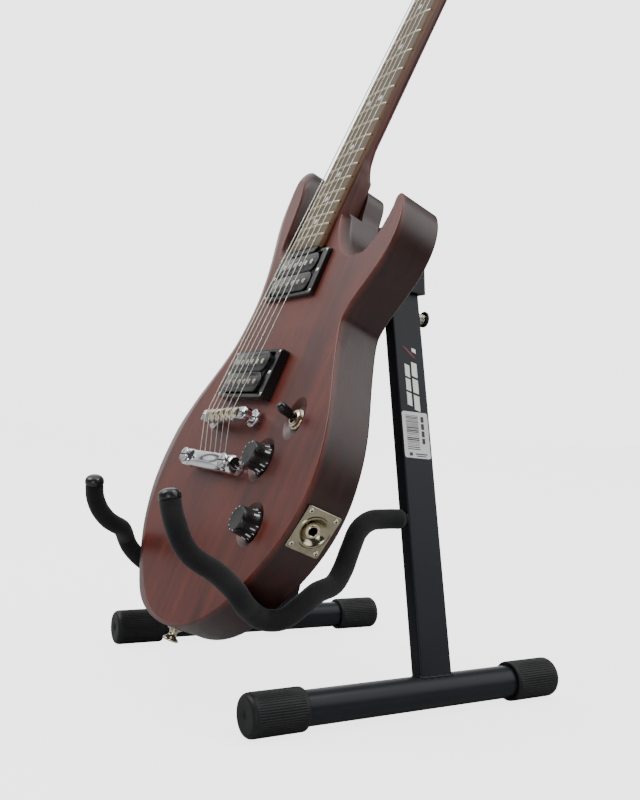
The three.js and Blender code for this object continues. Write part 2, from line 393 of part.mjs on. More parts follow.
// ---- neck with peghead
const hwAt = v => FB_HW0 + (FB_HW1 - FB_HW0) * (v / NUT_V);
const hf = new THREE.Group();        // peghead frame: y up the peghead, z out of its face
hf.position.set(0, NUT_V + 4, -4.5);
hf.rotation.x = -HEAD_TILT * D2R;
nf.add(hf);
hf.updateMatrix();
const HEAD = [[-22, -6], [22, -6], [23.5, 8], [29, 22], [35.5, 36], [38, 60], [38.5, 95], [39.5, 125], [38, 142], [31, 153], [18, 159.5], [0, 162], [-18, 159.5], [-31, 153], [-38, 142], [-39.5, 125], [-38.5, 95], [-38, 60], [-35.5, 36], [-29, 22], [-23.5, 8]];
const TUNER_H = [46, 82, 118], TUNER_X = 24;
{
  // section of the neck: flat top, D-shaped back
  const NECK_SIDES = 10;
  const section = (hw, depth, square) => {
    const o = [];
    const K = NECK_SIDES;
    for (let i = 0; i <= K; i++) {
      const t = Math.PI * i / K, c = Math.cos(t), s = i % K ? Math.sin(t) : 0, e = square;
      o.push([-hw * Math.sign(c) * Math.pow(Math.abs(c), e), -FB_T - GAP - (depth - FB_T) * Math.pow(s, e)]);
    }
    return o;
  };
  // stations up the neck: [v, half width factor, depth, squareness]
  const st = [[3.3, 27.6, 32, 0.05], [40, 27.6, 32, 0.05], [69, 27.3, 32, 0.06], [78, 26.7, 21, 0.22], [92, null, 18.8, 0.55], [108, null, NECK_D, 0.8], [200, null, 17.8, 0.82], [330, null, 17.2, 0.82], [430, null, 17, 0.82], [455, null, 17.6, 0.8], [468, null, 20.5, 0.8]];
  const pos = [], idx = [];
  const K = NECK_SIDES + 1;
  for (const [v, hw, d, e] of st) for (const p of section(hw === null ? hwAt(v) : hw, d, e)) pos.push(p[0], v, p[1]);
  const S = st.length;
  for (let k = 0; k < S - 1; k++) for (let i = 0; i < K; i++) {
    const j = (i + 1) % K, a = k * K + i, b = k * K + j, c = (k + 1) * K + j, dd = (k + 1) * K + i;
    idx.push(a, c, b, a, dd, c);
  }
  for (let i = 1; i < K - 1; i++) { idx.push(0, i, i + 1); idx.push((S - 1) * K, (S - 1) * K + i + 1, (S - 1) * K + i); }
  const g = new THREE.BufferGeometry();
  g.setAttribute('position', new THREE.BufferAttribute(new Float32Array(pos), 3));
  g.setIndex(idx);
  let nk = solid(g);
  if (nk.volume() < 0) { const ii = []; for (let i = 0; i < idx.length; i += 3) ii.push(idx[i], idx[i + 2], idx[i + 1]); g.setIndex(ii); nk = solid(g); }
  // the heel's underside is level with the ledge in the body
  const inv = neckToBody.clone().invert();
  nk = nk.subtract(solid(box(-60, 60, -20, 74, -70, -18).applyMatrix4(inv)));
  // peghead
  let hd = solid(prism(HEAD, -HEAD_T, 0).applyMatrix4(hf.matrix));
  nk = nk.add(hd);
  // keep the nut's seat and the fingerboard's bed clear
  nk = nk.subtract(solid(box(-60, 60, 0, NUT_V + 5.5, -FB_T - GAP, 30)));
  for (const s of [-1, 1]) for (const h of TUNER_H) nk = nk.subtract(solid(at(cyl('z', 4.6, -30, 10, 10), s * TUNER_X, h, 0).applyMatrix4(hf.matrix)));
  put(nf, 'neck', geo(nk), neckWood());
}
// ---- fingerboard with its frets
const fretV = n => SCALE * Math.pow(2, -n / 12) + BRIDGE_V;
{
  // crowned top made of strips
  const crown = 1.0;
  const sec = hw => { const o = [[-hw, -FB_T], [hw, -FB_T]]; const K = 4; for (let i = 0; i <= K; i++) { const x = hw - 2 * hw * i / K; o.push([x, -crown * (x / hw) * (x / hw)]); } return o; };
  const A = sec(FB_HW0), B = sec(hwAt(NUT_V - 0.3)), K = A.length;
  const pos = [], idx = [];
  for (const p of A) pos.push(p[0], 0, p[1]);
  for (const p of B) pos.push(p[0], NUT_V - 0.3, p[1]);
  for (let i = 0; i < K; i++) { const j = (i + 1) % K; idx.push(i, K + j, j, i, K + i, K + j); }
  for (let i = 1; i < K - 1; i++) { idx.push(0, i, i + 1); idx.push(K, K + i + 1, K + i); }
  const g = new THREE.BufferGeometry();
  g.setAttribute('position', new THREE.BufferAttribute(new Float32Array(pos), 3));
  g.setIndex(idx);
  let fb = solid(g);
  if (fb.volume() < 0) { const ii = []; for (let i = 0; i < idx.length; i += 3) ii.push(idx[i], idx[i + 2], idx[i + 1]); g.setIndex(ii); fb = solid(g); }
  for (let n = 1; n <= FRETS; n++) {
    const v = fretV(n), hw = hwAt(v) - 0.4;
    const o = [[-hw, -2.6], [hw, -2.6]];
    for (let i = 0; i <= 2; i++) { const x = hw - hw * i; o.push([x, 1.0 - crown * (x / hw) * (x / hw)]); }
    const f = prism(o, -1.1, 1.1).rotateX(Math.PI / 2);      // (x, z) section along y
    fb = fb.add(solid(at(f, 0, v, 0)));
  }
  put(nf, 'fingerboard', geo(fb), rosewood());
}
// ---- strings: spread at the nut, the bridge and the tailpiece
const sx = (i, span) => -span / 2 + span * i / 5;                 // i = 0 bass
const NUTSPAN = 35, BRSPAN = 50.5, TAILSPAN = 52;
const SAD_W = 4.3;                                                // string height over the fingerboard plane at the bridge
const nutW = i => 1.95 - 0.9 * Math.pow(sx(i, NUTSPAN) / 21, 2);
const sadW = i => SAD_W - 1.2 * Math.pow(sx(i, BRSPAN) / 26, 2);
const brSkew = x => -162.2 + x * (2.2 / 37);
// nut
{
  const hw = hwAt(NUT_V) - 0.2;
  const o = [[-hw, -FB_T], [hw, -FB_T]];
  for (let i = 0; i <= 6; i++) { const x = hw - 2 * hw * i / 6; o.push([x, 2.6 - 1.2 * (x / hw) * (x / hw)]); }
  let n = solid(at(prism(o, -2.5, 2.5).rotateX(Math.PI / 2), 0, NUT_V + 2.6, 0));
  for (let i = 0; i < 6; i++) { const x = sx(i, NUTSPAN), r = STRING_N[i] + 0.35; n = n.subtract(solid(box(x - r, x + r, NUT_V - 3, NUT_V + 9, nutW(i) - r, 8))); }
  put(nf, 'nut', geo(n), M(0x1a1a1c, 0.5, 0));
}
// ---- pickups
function pickup(y, n0, ringH, name) {
  const ro = roundRect(-44.5, 44.5, -22.5, 22.5, 2.5, 3), ri = roundRect(-35.2, 35.2, -19.2, 19.2, 3, 3);
  const s = shapeOf(ro); s.holes.push(new THREE.Path(ri.slice().reverse().map(p => new THREE.Vector2(...p))));
  const ring = new THREE.ExtrudeGeometry(s, { depth: ringH, bevelEnabled: false });
  put(guitar, name + '_pickup_ring', at(ring, 0, y, 0.3), black());
  // two bobbins on a base plate, with pole pieces
  let p = solid(box(-33.2, 33.2, -17.2, 17.2, n0 - 18, n0 - 2.2));
  for (const sgn of [-1, 1]) p = p.add(solid(at(prism(roundRect(-34.4, 34.4, -8.9, 8.9, 8.8, 3), n0 - 3, n0), 0, sgn * 9.3, 0)));
  for (const sgn of [-1, 1]) for (let i = 0; i < 6; i++) p = p.add(solid(at(cyl('z', 2.4, n0 - 1, n0 + 0.7, 6), sx(i, 49), sgn * 9.3, 0)));
  put(guitar, name + '_pickup', geo(p.translate([0, y, 0])), black());
}
pickup(NECK_PU_U, 5.2, 4.2, 'neck');
pickup(BRIDGE_PU_U, 11.2, 9.0, 'bridge');
// ---- bridge on two posts
const bAng = Math.atan2(4.4, 74);
{
  let br = solid(prism([[-42.5, -2.6], [-40, -5.4], [40, -5.4], [42.5, -2.6], [42.5, 2.6], [40, 5.4], [-40, 5.4], [-42.5, 2.6]], BRIDGE_N - 4.6, BRIDGE_N + 3));
  const inv = neckToBody;
  for (let i = 0; i < 6; i++) {
    const x = sx(i, BRSPAN), q = vToBody(x, BRIDGE_V, sadW(i));
    const top = q.z - STRING_N[i] - 0.42;
    br = br.add(solid(box(x - 3, x + 3, -4.2, 4.2, BRIDGE_N + 2, top)));
  }
  for (const s of [-1, 1]) br = br.subtract(solid(at(cyl('z', 2.6, 0, 30, 12), s * 37, 0, 0)));
  br = br.rotate([0, 0, bAng / D2R]);
  put(guitar, 'bridge_body', geo(br.translate([0, -162.2, 0])), chrome());
  for (const [s, n] of [[-1, 'bass'], [1, 'treble']]) {
    const g = turn([[0, -15], [2.2, -15], [2.2, 2.5], [7.5, 2.5], [8, 3], [8, 5.2], [7.5, 5.7], [3.2, 5.7], [3.2, BRIDGE_N - 5], [2.3, BRIDGE_N - 5], [2.3, BRIDGE_N + 3.6], [0, BRIDGE_N + 3.6]], 20);
    put(guitar, n + '_bridge_post', at(g, s * 37 * Math.cos(bAng), -162.2 + s * 37 * Math.sin(bAng), 0), chrome());
  }
}
// ---- stop tailpiece on two studs
{
  const prof = [[-8, 8.2], [-6.2, 6.2], [4, 6.0], [6.6, 8.0], [7.6, 10.6], [6.4, 13.4], [3.4, 15.2], [-2, 15.8], [-6, 14.4], [-8, 11.6]];
  const g = prism(prof, -51, 51);
  g.applyMatrix4(new THREE.Matrix4().set(0, 0, 1, 0, 1, 0, 0, 0, 0, 1, 0, 0, 0, 0, 0, 1));
  let t = solid(g);
  for (let i = 0; i < 6; i++) t = t.subtract(solid(at(cyl('y', 1.5, -20, 20, 8), sx(i, TAILSPAN), 0, 11.2)));
  for (const s of [-1, 1]) t = t.subtract(solid(at(prism([[-4.1, -4.1], [4.1, -4.1], [4.1, 12], [-4.1, 12]], 0, 30), s * 41, 0, 0)));
  put(guitar, 'tailpiece', geo(t.translate([0, TAIL_U, 0])), chrome());
  for (const [s, n] of [[-1, 'bass'], [1, 'treble']]) {
    const st = turn([[0, -15], [3.8, -15], [3.8, 0.2], [7, 0.2], [7, 2.2], [6.4, 5.4], [3.7, 5.4], [3.7, 16.2], [6.6, 16.2], [6.6, 17.6], [5.6, 18.6], [0, 18.8]], 18);
    put(guitar, n + '_tailpiece_stud', at(st, s * 41, TAIL_U, 0), chrome());
  }
}
// ---- strings
{
  const m = new THREE.Matrix4().copy(neckToBody);
  const headToBody = m.clone().multiply(hf.matrix);
  const postOf = i => i < 3 ? { s: -1, h: TUNER_H[i] } : { s: 1, h: TUNER_H[5 - i] };
  const names = ['low_e_string', 'a_string', 'd_string', 'g_string', 'b_string', 'high_e_string'];
  for (let i = 0; i < 6; i++) {
    const r = STRING_N[i];
    const sad = vToBody(sx(i, BRSPAN), BRIDGE_V, sadW(i));
    const x0 = sx(i, TAILSPAN);
    const pts = [];
    const k = brSkew(sx(i, BRSPAN));
    pts.push([x0, TAIL_U - 4, 11.2], [x0, TAIL_U + 8.6, 11.2]);
    pts.push([sad.x, k - 4.4, sad.z - 0.15], [sad.x, k, sad.z]);
    const nutP = vToBody(sx(i, NUTSPAN), NUT_V, nutW(i)); nutP.x = sx(i, NUTSPAN);
    const nut2 = vToBody(sx(i, NUTSPAN), NUT_V + 5.6, nutW(i) - 0.1);
    for (const t of [0.25, 0.5, 0.75]) pts.push([sad.x + (nutP.x - sad.x) * t, k + (nutP.y - k) * t, sad.z + (nutP.z - sad.z) * t]);
    pts.push([nutP.x, nutP.y, nutP.z], [nut2.x, nut2.y, nut2.z]);
    const po = postOf(i);
    // runs past the inner side of its post, clear of it
    const end = new THREE.Vector3(po.s * (TUNER_X - 3.2 - r - 0.35), po.h + 2.5, 5.6).applyMatrix4(headToBody);
    const a = new THREE.Vector3(...pts[pts.length - 1]);
    pts.push([a.x + (end.x - a.x) * 0.5, a.y + (end.y - a.y) * 0.5, a.z + (end.z - a.z) * 0.5], [end.x, end.y, end.z]);
    put(guitar, names[i], rodAlong(pts, r, 5), i < 3 ? nickel() : chrome());
  }
}
// ---- controls
for (const [[x, y], n] of [[VOL, 'volume'], [TONE, 'tone']]) {
  const k = turn([[0, KNOB_BASE + 9], [3.3, KNOB_BASE + 9], [3.3, KNOB_BASE + 0.6], [12.2, KNOB_BASE + 0.4], [12.9, KNOB_BASE + 1.1], [12.7, KNOB_BASE + 2.6], [10.6, KNOB_BASE + 6], [9.9, KNOB_BASE + 10], [9.7, KNOB_BASE + 15.2], [9.2, KNOB_BASE + 15.9], [0, KNOB_BASE + 15.9]], 28);
  put(guitar, n + '_knob', at(k, x, y, 0), black());
  const p = turn([[0, -26], [12, -26], [12, -16.2], [8, -13.2], [4, -13.2], [4, -4.4], [3, -4.4], [3, KNOB_BASE + 8.6], [0, KNOB_BASE + 8.6]], 20);
  put(guitar, n + '_pot', at(p, x, y, 0), nickel());
}
{
  const [x, y] = TOGGLE;
  const sw = turn([[0, -30], [8, -30], [8, -8.2], [6, -8.2], [6, -3.2], [8.6, -3.2], [8.6, -1.2], [7.2, 0.4], [5.4, 1.4], [4.4, 1.4], [4.4, -3.6], [0, -3.6]], 20);
  put(guitar, 'toggle_switch', at(sw, x, y, 0), nickel());
  const lg = new THREE.Group();
  lg.position.set(x, y, -1); lg.rotation.x = -13 * D2R;
  guitar.add(lg);
  put(lg, 'toggle_lever', turn([[0, -1.4], [1.6, -1.4], [1.7, 3.2], [3.2, 4.2], [3.9, 8], [4.1, 13.5], [3.6, 16.4], [2.2, 17.8], [0, 18.2]], 18), black());
}
{
  const jm = jackFrame();
  const pl = roundRect(-jLen / 2, jLen / 2, -14, 14, 1.2, 3);
  const s = shapeOf(pl); s.holes.push(new THREE.Path(disc(8.5, 20).reverse().map(p => new THREE.Vector2(...p))));
  // plate with a dished centre
  let p = solid(new THREE.ExtrudeGeometry(s, { depth: 1.2, bevelEnabled: false }));
  p = p.add(solid(turn([[4.9, -3.4], [8.4, -3.4], [9.6, -0.2], [9.6, 0.6], [8.4, 0.6], [7.2, -2.2], [4.9, -2.2], [4.9, -3.4]], 20)));
  const to = new THREE.Matrix4().set(0, 0, 1, 0.3, 1, 0, 0, 0, 0, 1, 0, 0, 0, 0, 0, 1);   // (along, across, out) -> jack frame
  put(guitar, 'jack_plate', geo(p).applyMatrix4(to).applyMatrix4(jm), nickel());
  const j = turn([[3.3, -18], [5.6, -18], [5.6, -3.8], [4.6, -3.8], [4.6, -1.9], [6.4, -1.9], [6.4, -0.4], [4.6, 0.2], [3.3, 0.2], [3.3, -18]], 18);
  put(guitar, 'jack_socket', j.applyMatrix4(to).applyMatrix4(jm), nickel());
}
// strap buttons
{
  const b = () => turn([[0, -12], [1.6, -12], [1.6, 0.3], [6.6, 0.3], [6.2, 1.6], [3.4, 3.2], [3.2, 6.6], [6, 8.6], [6.8, 9.8], [6.4, 11], [2.6, 11.6], [0, 11.6]], 20);
  put(guitar, 'tail_strap_button', at(b().rotateX(Math.PI / 2), 1, -337.1, -19), nickel());
  put(guitar, 'heel_strap_button', at(b().rotateX(Math.PI), 0, 56, -BODY_T), nickel());
}
// ---- machine heads: three on a strip each side, posts up through the peghead
for (const [s, n] of [[-1, 'bass'], [1, 'treble']]) {
  let t = solid(box(s * TUNER_X - 6.5, s * TUNER_X + 6.5, TUNER_H[0] - 14, TUNER_H[2] + 14, -HEAD_T - 1.6, -HEAD_T - 0.3));
  for (const h of TUNER_H) {
    t = t.add(solid(at(prism(roundRect(-6, 9.5, -7, 7, 2.5, 3).map(p => [s * p[0], p[1]]).sort(() => 0), 0, 1), 0, 0, 0).translate(0, 0, 0)).translate([1e4, 0, 0]).subtract(solid(box(9e3, 11e3, -1e3, 1e3, -1e3, 1e3))));
    t = t.add(solid(box(Math.min(s * (TUNER_X - 5.5), s * (TUNER_X + 8.5)), Math.max(s * (TUNER_X - 5.5), s * (TUNER_X + 8.5)), h - 6.8, h + 6.8, -HEAD_T - 9.5, -HEAD_T - 1)));
    t = t.add(solid(at(cyl('z', 3, -HEAD_T - 2, 12, 8), s * TUNER_X, h, 0)));
    t = t.add(solid(at(cyl('z', 4.1, -HEAD_T - 2, -0.2, 10), s * TUNER_X, h, 0)));
    const bore = at(cyl('x', 2.2, s > 0 ? TUNER_X + 4 : -TUNER_X - 14, s > 0 ? TUNER_X + 14 : -TUNER_X - 4, 12), 0, h, -HEAD_T - 5.2);
    t = t.subtract(solid(bore));
  }
  put(hf, n + '_machine_heads', geo(t), nickel());
  TUNER_H.forEach((h, k) => {
    const x0 = TUNER_X + 4.4;
    const b = turn([[0, x0], [1.9, x0], [1.9, x0 + 12], [4.6, x0 + 17], [4.6, x0 + 18], [0, x0 + 18]], 8);
    let q = solid(b).add(solid(at(turn([[0, -4.0], [7.4, -3.2], [9.2, 0], [7.4, 3.2], [0, 4.0]], 12).rotateX(Math.PI / 2), 0, 0, x0 + 24.5)));
    const g = geo(q).rotateY(s * Math.PI / 2);
    put(hf, n + '_tuner_button_' + (k + 1), at(g, 0, h, -HEAD_T - 5.2), M(0xd8d4c8, 0.4, 0));
  });
}

// ---------------------------------------------------------------- row frame: origin at the middle of the base
root.updateMatrixWorld(true);
const bb = new THREE.Box3().setFromObject(root, true);
const SHIFT = [-(bb.min.x + bb.max.x) / 2, -(bb.min.y + bb.max.y) / 2, -bb.min.z];
const group = new THREE.Group();
root.position.set(...SHIFT);
group.add(root);
group.userData = { shift: SHIFT };
export default group;
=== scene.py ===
# Looks for the electric guitar on its folding stand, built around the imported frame.
import bpy, bmesh, math, random
import numpy as np
from mathutils import Matrix, Vector


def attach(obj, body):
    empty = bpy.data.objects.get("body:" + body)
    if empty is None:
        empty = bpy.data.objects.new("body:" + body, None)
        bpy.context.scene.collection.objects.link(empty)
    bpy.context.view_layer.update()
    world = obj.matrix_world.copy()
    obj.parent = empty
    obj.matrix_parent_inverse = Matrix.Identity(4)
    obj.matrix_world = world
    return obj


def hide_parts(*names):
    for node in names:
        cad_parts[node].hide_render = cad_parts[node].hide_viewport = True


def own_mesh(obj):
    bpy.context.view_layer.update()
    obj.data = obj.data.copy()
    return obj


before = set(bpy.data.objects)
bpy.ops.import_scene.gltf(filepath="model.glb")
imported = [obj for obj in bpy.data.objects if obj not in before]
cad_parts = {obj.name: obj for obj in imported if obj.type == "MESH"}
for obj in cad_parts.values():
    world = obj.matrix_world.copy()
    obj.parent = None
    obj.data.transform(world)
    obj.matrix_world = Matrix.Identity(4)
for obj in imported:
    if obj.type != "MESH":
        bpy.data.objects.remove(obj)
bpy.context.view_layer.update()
R = math.radians
MM = 0.001
rnd = random.Random(7)

# ------------------------------------------------------------------ dimensions, mm
GAP = 0.3
FOOT_X, FOOT_Z, FOOT_Y, FOOT_HALF, FOOT_TOE = 134.6, 15.75, -1.5, 141.5, 1.35
TUBE_R, CAP_R, CAP_LEN = 12.7, 15.75, 45.0
LEG_Y, LEG_LEAN, LEG_T, LEG_W, LEG_SLOPE, PIVOT_Z = 19.3, 3.15, 11.2, 28.4, 0.309, 350.0
PIVOT_X = FOOT_X - LEG_SLOPE * PIVOT_Z
HEAD_Z0, HEAD_Z1, HEAD_HW0, HEAD_HW1, HEAD_HY = 322.0, 378.0, 45.5, 34.0, 21.6
LOCK_Z = 300.5
TUBE_T, TUBE_W = 12.8, 30.4       # outside of the painted leg tube, with its rounded paint edge
ROD_R, FOAM_R = 4.0, 8.1
LEAN = 21.498
P0 = (0, -37.33, 366.86)
BODY_T = 38.0
SCALE, FB_END, NECK_ANGLE, FB_TOP = 628.65, 12.0, 3.05, 7.3
BRIDGE_V = -(SCALE * 2 ** (-22 / 12) - FB_END)
NUT_V = SCALE + BRIDGE_V
FB_HW0, FB_HW1, FB_T, NECK_D = 26.8, 21.0, 5.5, 18.0
HEAD_TILT, HEAD_T = 14.0, 14.0
STRING_N = [0.62, 0.52, 0.42, 0.36, 0.34, 0.33]
NECK_PU_U, BRIDGE_PU_U = -24.2, -121.0
BRIDGE_N, TAIL_U = 13.2, -202.0
VOL, TONE, TOGGLE = (70, -191.5), (95, -242), (97, -156.5)
TOGGLE_REST = -13.0
KNOB_BASE = -3.4
SHIFT = (1.56085, -34.4495, 0.0)

T = lambda x, y, z: Matrix.Translation((x, y, z))
RX = lambda a: Matrix.Rotation(R(a), 4, 'X')
RY = lambda a: Matrix.Rotation(R(a), 4, 'Y')
RZ = lambda a: Matrix.Rotation(R(a), 4, 'Z')
ROOT = T(*SHIFT)
SF = ROOT @ T(0, LEG_Y, FOOT_Z) @ RX(-LEG_LEAN)
LEG_LEN = math.hypot(LEG_SLOPE * PIVOT_Z, PIVOT_Z)
LEG_ANG = math.degrees(math.atan(LEG_SLOPE))
LEGF = {s: SF @ T(s * PIVOT_X, 0, PIVOT_Z) @ RY(-s * LEG_ANG) for s in (1, -1)}
FOOTF = {s: ROOT @ T(s * FOOT_X, FOOT_Y - (7 if s < 0 else 0), FOOT_Z) @ RZ(s * FOOT_TOE) for s in (1, -1)}
GF = ROOT @ T(*P0) @ RX(90 - LEAN)
NF = GF @ T(0, 0, FB_TOP) @ RX(-NECK_ANGLE)
HF = NF @ T(0, NUT_V + 4, -4.5) @ RX(-HEAD_TILT)
N2B = GF.inverted() @ NF
H2B = GF.inverted() @ HF
JA, JB = (160.4, -217.2), (147.6, -249.0)
JLEN = math.hypot(JB[0] - JA[0], JB[1] - JA[1])
JT = ((JB[0] - JA[0]) / JLEN, (JB[1] - JA[1]) / JLEN)
JN = (-JT[1], JT[0])
JC = ((JA[0] + JB[0]) / 2 - JN[0] * 1.2, (JA[1] + JB[1]) / 2 - JN[1] * 1.2)
JACKF = GF @ T(JC[0], JC[1], -18.9) @ RZ(math.degrees(math.atan2(JN[1], JN[0])))
# plate frame: x along the rim, y across it, z straight out
JPF = JACKF @ Matrix(((0, 0, 1, 0.3), (1, 0, 0, 0), (0, 1, 0, 0), (0, 0, 0, 1)))

# ------------------------------------------------------------------ mesh helpers
class MB:
    def __init__(self):
        self.v, self.f, self.m = [], [], []
    def add(self, vf, mi=0, M=None):
        V, F = vf
        o = len(self.v)
        for p in V:
            p = Vector(p)
            self.v.append(M @ p if M is not None else p)
        for f in F:
            self.f.append([i + o for i in f]); self.m.append(mi)
        return self

def clean_lists(V, F):
    return V, F

def lathe(pts, seg=48, rad=None):
    """Solid of revolution about +Z from (r, z) points; points on the axis become poles."""
    V, F, rows = [], [], []
    for k, (r, z) in enumerate(pts):
        if r < 1e-6:
            rows.append([len(V)] * seg); V.append((0, 0, z))
        else:
            row = []
            for i in range(seg):
                t = 2 * math.pi * i / seg
                rr = r + (rad(t, z, r) if rad else 0)
                row.append(len(V)); V.append((rr * math.cos(t), rr * math.sin(t), z))
            rows.append(row)
    for a, b in zip(rows, rows[1:]):
        for i in range(seg):
            j = (i + 1) % seg
            q = [a[i], a[j], b[j], b[i]]
            q2 = []
            for x in q:
                if x not in q2: q2.append(x)
            if len(q2) > 2: F.append(q2)
    return V, F

def lathe_closed(pts, seg=48):
    V, F = lathe(list(pts) + [pts[0]], seg)
    n = len(pts)
    V = V[:n * seg]
    F = [[i % (n * seg) for i in f] for f in F]
    return V, F

def loft(rings, cap0=True, cap1=True, closed=True):
    n = len(rings[0]); V = [p for r in rings for p in r]; F = []
    for k in range(len(rings) - 1):
        for i in range(n if closed else n - 1):
            j = (i + 1) % n
            F.append([k * n + i, k * n + j, (k + 1) * n + j, (k + 1) * n + i])
    if cap0: F.append(list(range(n))[::-1])
    if cap1: F.append([(len(rings) - 1) * n + i for i in range(n)])
    return V, F

def prism(poly, z0, z1):
    return loft([[(x, y, z0) for x, y in poly], [(x, y, z1) for x, y in poly]])

def rrect(x0, x1, y0, y1, r, n=6):
    o = []
    for cx, cy, a in ((x1 - r, y1 - r, 0), (x0 + r, y1 - r, 90), (x0 + r, y0 + r, 180), (x1 - r, y0 + r, 270)):
        for i in range(n + 1):
            t = R(a + 90 * i / n); o.append((cx + r * math.cos(t), cy + r * math.sin(t)))
    return o

def circle(r, n=32, off=0.0, cx=0, cy=0):
    return [(cx + r * math.cos(2 * math.pi * (i + off) / n), cy + r * math.sin(2 * math.pi * (i + off) / n)) for i in range(n)]

def box(x0, x1, y0, y1, z0, z1):
    return prism([(x0, y0), (x1, y0), (x1, y1), (x0, y1)], z0, z1)

def frames(P):
    P = [Vector(p) for p in P]; n = len(P)
    Tn = [(P[min(i + 1, n - 1)] - P[max(i - 1, 0)]).normalized() for i in range(n)]
    up = Vector((0, 0, 1)) if abs(Tn[0].z) < 0.9 else Vector((1, 0, 0))
    a = Tn[0].cross(up).normalized(); out = []
    for i in range(n):
        a = (a - Tn[i] * a.dot(Tn[i])).normalized()
        out.append((P[i], a, Tn[i].cross(a).normalized()))
    return out

def tube(P, r, n=16, cap=True, ends=0):
    """Tube along points; r is a number or a function of (index, angle). ends is not used."""
    fr = frames(P); rings = []
    for i, (p, a, b) in enumerate(fr):
        ring = []
        for k in range(n):
            t = 2 * math.pi * k / n
            rr = r(i, t) if callable(r) else r
            ring.append(p + a * (rr * math.cos(t)) + b * (rr * math.sin(t)))
        rings.append(ring)
    return loft(rings, cap, cap)

def catmull(P, per=12, closed=False):
    """Centripetal spline through points, per samples a span."""
    P = [np.array(p, float) for p in P]; n = len(P); out = []
    spans = n if closed else n - 1
    for i in range(spans):
        p1, p2 = P[i], P[(i + 1) % n]
        p0 = P[(i - 1) % n] if (closed or i > 0) else 2 * p1 - p2
        p3 = P[(i + 2) % n] if (closed or i + 2 < n) else 2 * p2 - p1
        d = lambda a, b: max(np.linalg.norm(a - b) ** 0.5, 1e-4)
        t0 = 0; t1 = t0 + d(p0, p1); t2 = t1 + d(p1, p2); t3 = t2 + d(p2, p3)
        for k in range(per):
            t = t1 + (t2 - t1) * k / per
            A1 = (t1 - t) / (t1 - t0) * p0 + (t - t0) / (t1 - t0) * p1
            A2 = (t2 - t) / (t2 - t1) * p1 + (t - t1) / (t2 - t1) * p2
            A3 = (t3 - t) / (t3 - t2) * p2 + (t - t2) / (t3 - t2) * p3
            B1 = (t2 - t) / (t2 - t0) * A1 + (t - t0) / (t2 - t0) * A2
            B2 = (t3 - t) / (t3 - t1) * A2 + (t - t1) / (t3 - t1) * A3
            out.append((t2 - t) / (t2 - t1) * B1 + (t - t1) / (t2 - t1) * B2)
    if not closed: out.append(P[-1])
    return np.array(out)

def resample(P, n):
    P = np.array(P, float); s = np.concatenate([[0], np.cumsum(np.linalg.norm(np.diff(P, axis=0), axis=1))])
    q = np.linspace(0, s[-1], n)
    return np.stack([np.interp(q, s, P[:, k]) for k in range(P.shape[1])], 1)

def part_of(P, a, b, n):
    Q = resample(P, 1001); i0, i1 = a * 1000, b * 1000
    q = np.linspace(i0, i1, n)
    return np.stack([np.interp(q, np.arange(1001), Q[:, k]) for k in range(3)], 1)

def make(name, mb, M, body, mats, rep=(), ang=35, bevel=0.0, seg=3, bang=40, wn=False, sub=0, rec=True):
    if not isinstance(mb, MB): mb = MB().add(mb)
    me = bpy.data.meshes.new(name)
    me.from_pydata([(p[0] * MM, p[1] * MM, p[2] * MM) for p in mb.v], [], mb.f)
    if not isinstance(mats, (list, tuple)): mats = [mats]
    for m in mats: me.materials.append(m)
    for p, mi in zip(me.polygons, mb.m): p.material_index = mi
    if rec:
        bm = bmesh.new(); bm.from_mesh(me)
        bmesh.ops.remove_doubles(bm, verts=bm.verts, dist=2e-7)
        bmesh.ops.recalc_face_normals(bm, faces=bm.faces)
        bm.to_mesh(me); bm.free()
    me.shade_smooth()
    me.set_sharp_from_angle(angle=R(ang))
    ob = bpy.data.objects.new(name, me)
    bpy.context.scene.collection.objects.link(ob)
    W = M.copy(); W.translation = W.translation * MM
    ob.matrix_world = W
    if bevel:
        b = ob.modifiers.new('edge', 'BEVEL'); b.width = bevel * MM; b.segments = seg; b.limit_method = 'ANGLE'; b.angle_limit = R(bang); b.use_clamp_overlap = True
        b.harden_normals = False
    if sub:
        s = ob.modifiers.new('sub', 'SUBSURF'); s.levels = sub; s.render_levels = sub
    if wn:
        w = ob.modifiers.new('wn', 'WEIGHTED_NORMAL'); w.keep_sharp = True; w.weight = 80
    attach(ob, body)
    if rep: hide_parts(*([rep] if isinstance(rep, str) else rep))
    return ob

def apply_mods(ob):
    dg = bpy.context.evaluated_depsgraph_get()
    me = bpy.data.meshes.new_from_object(ob.evaluated_get(dg))
    old = ob.data; ob.modifiers.clear(); ob.data = me
    return ob

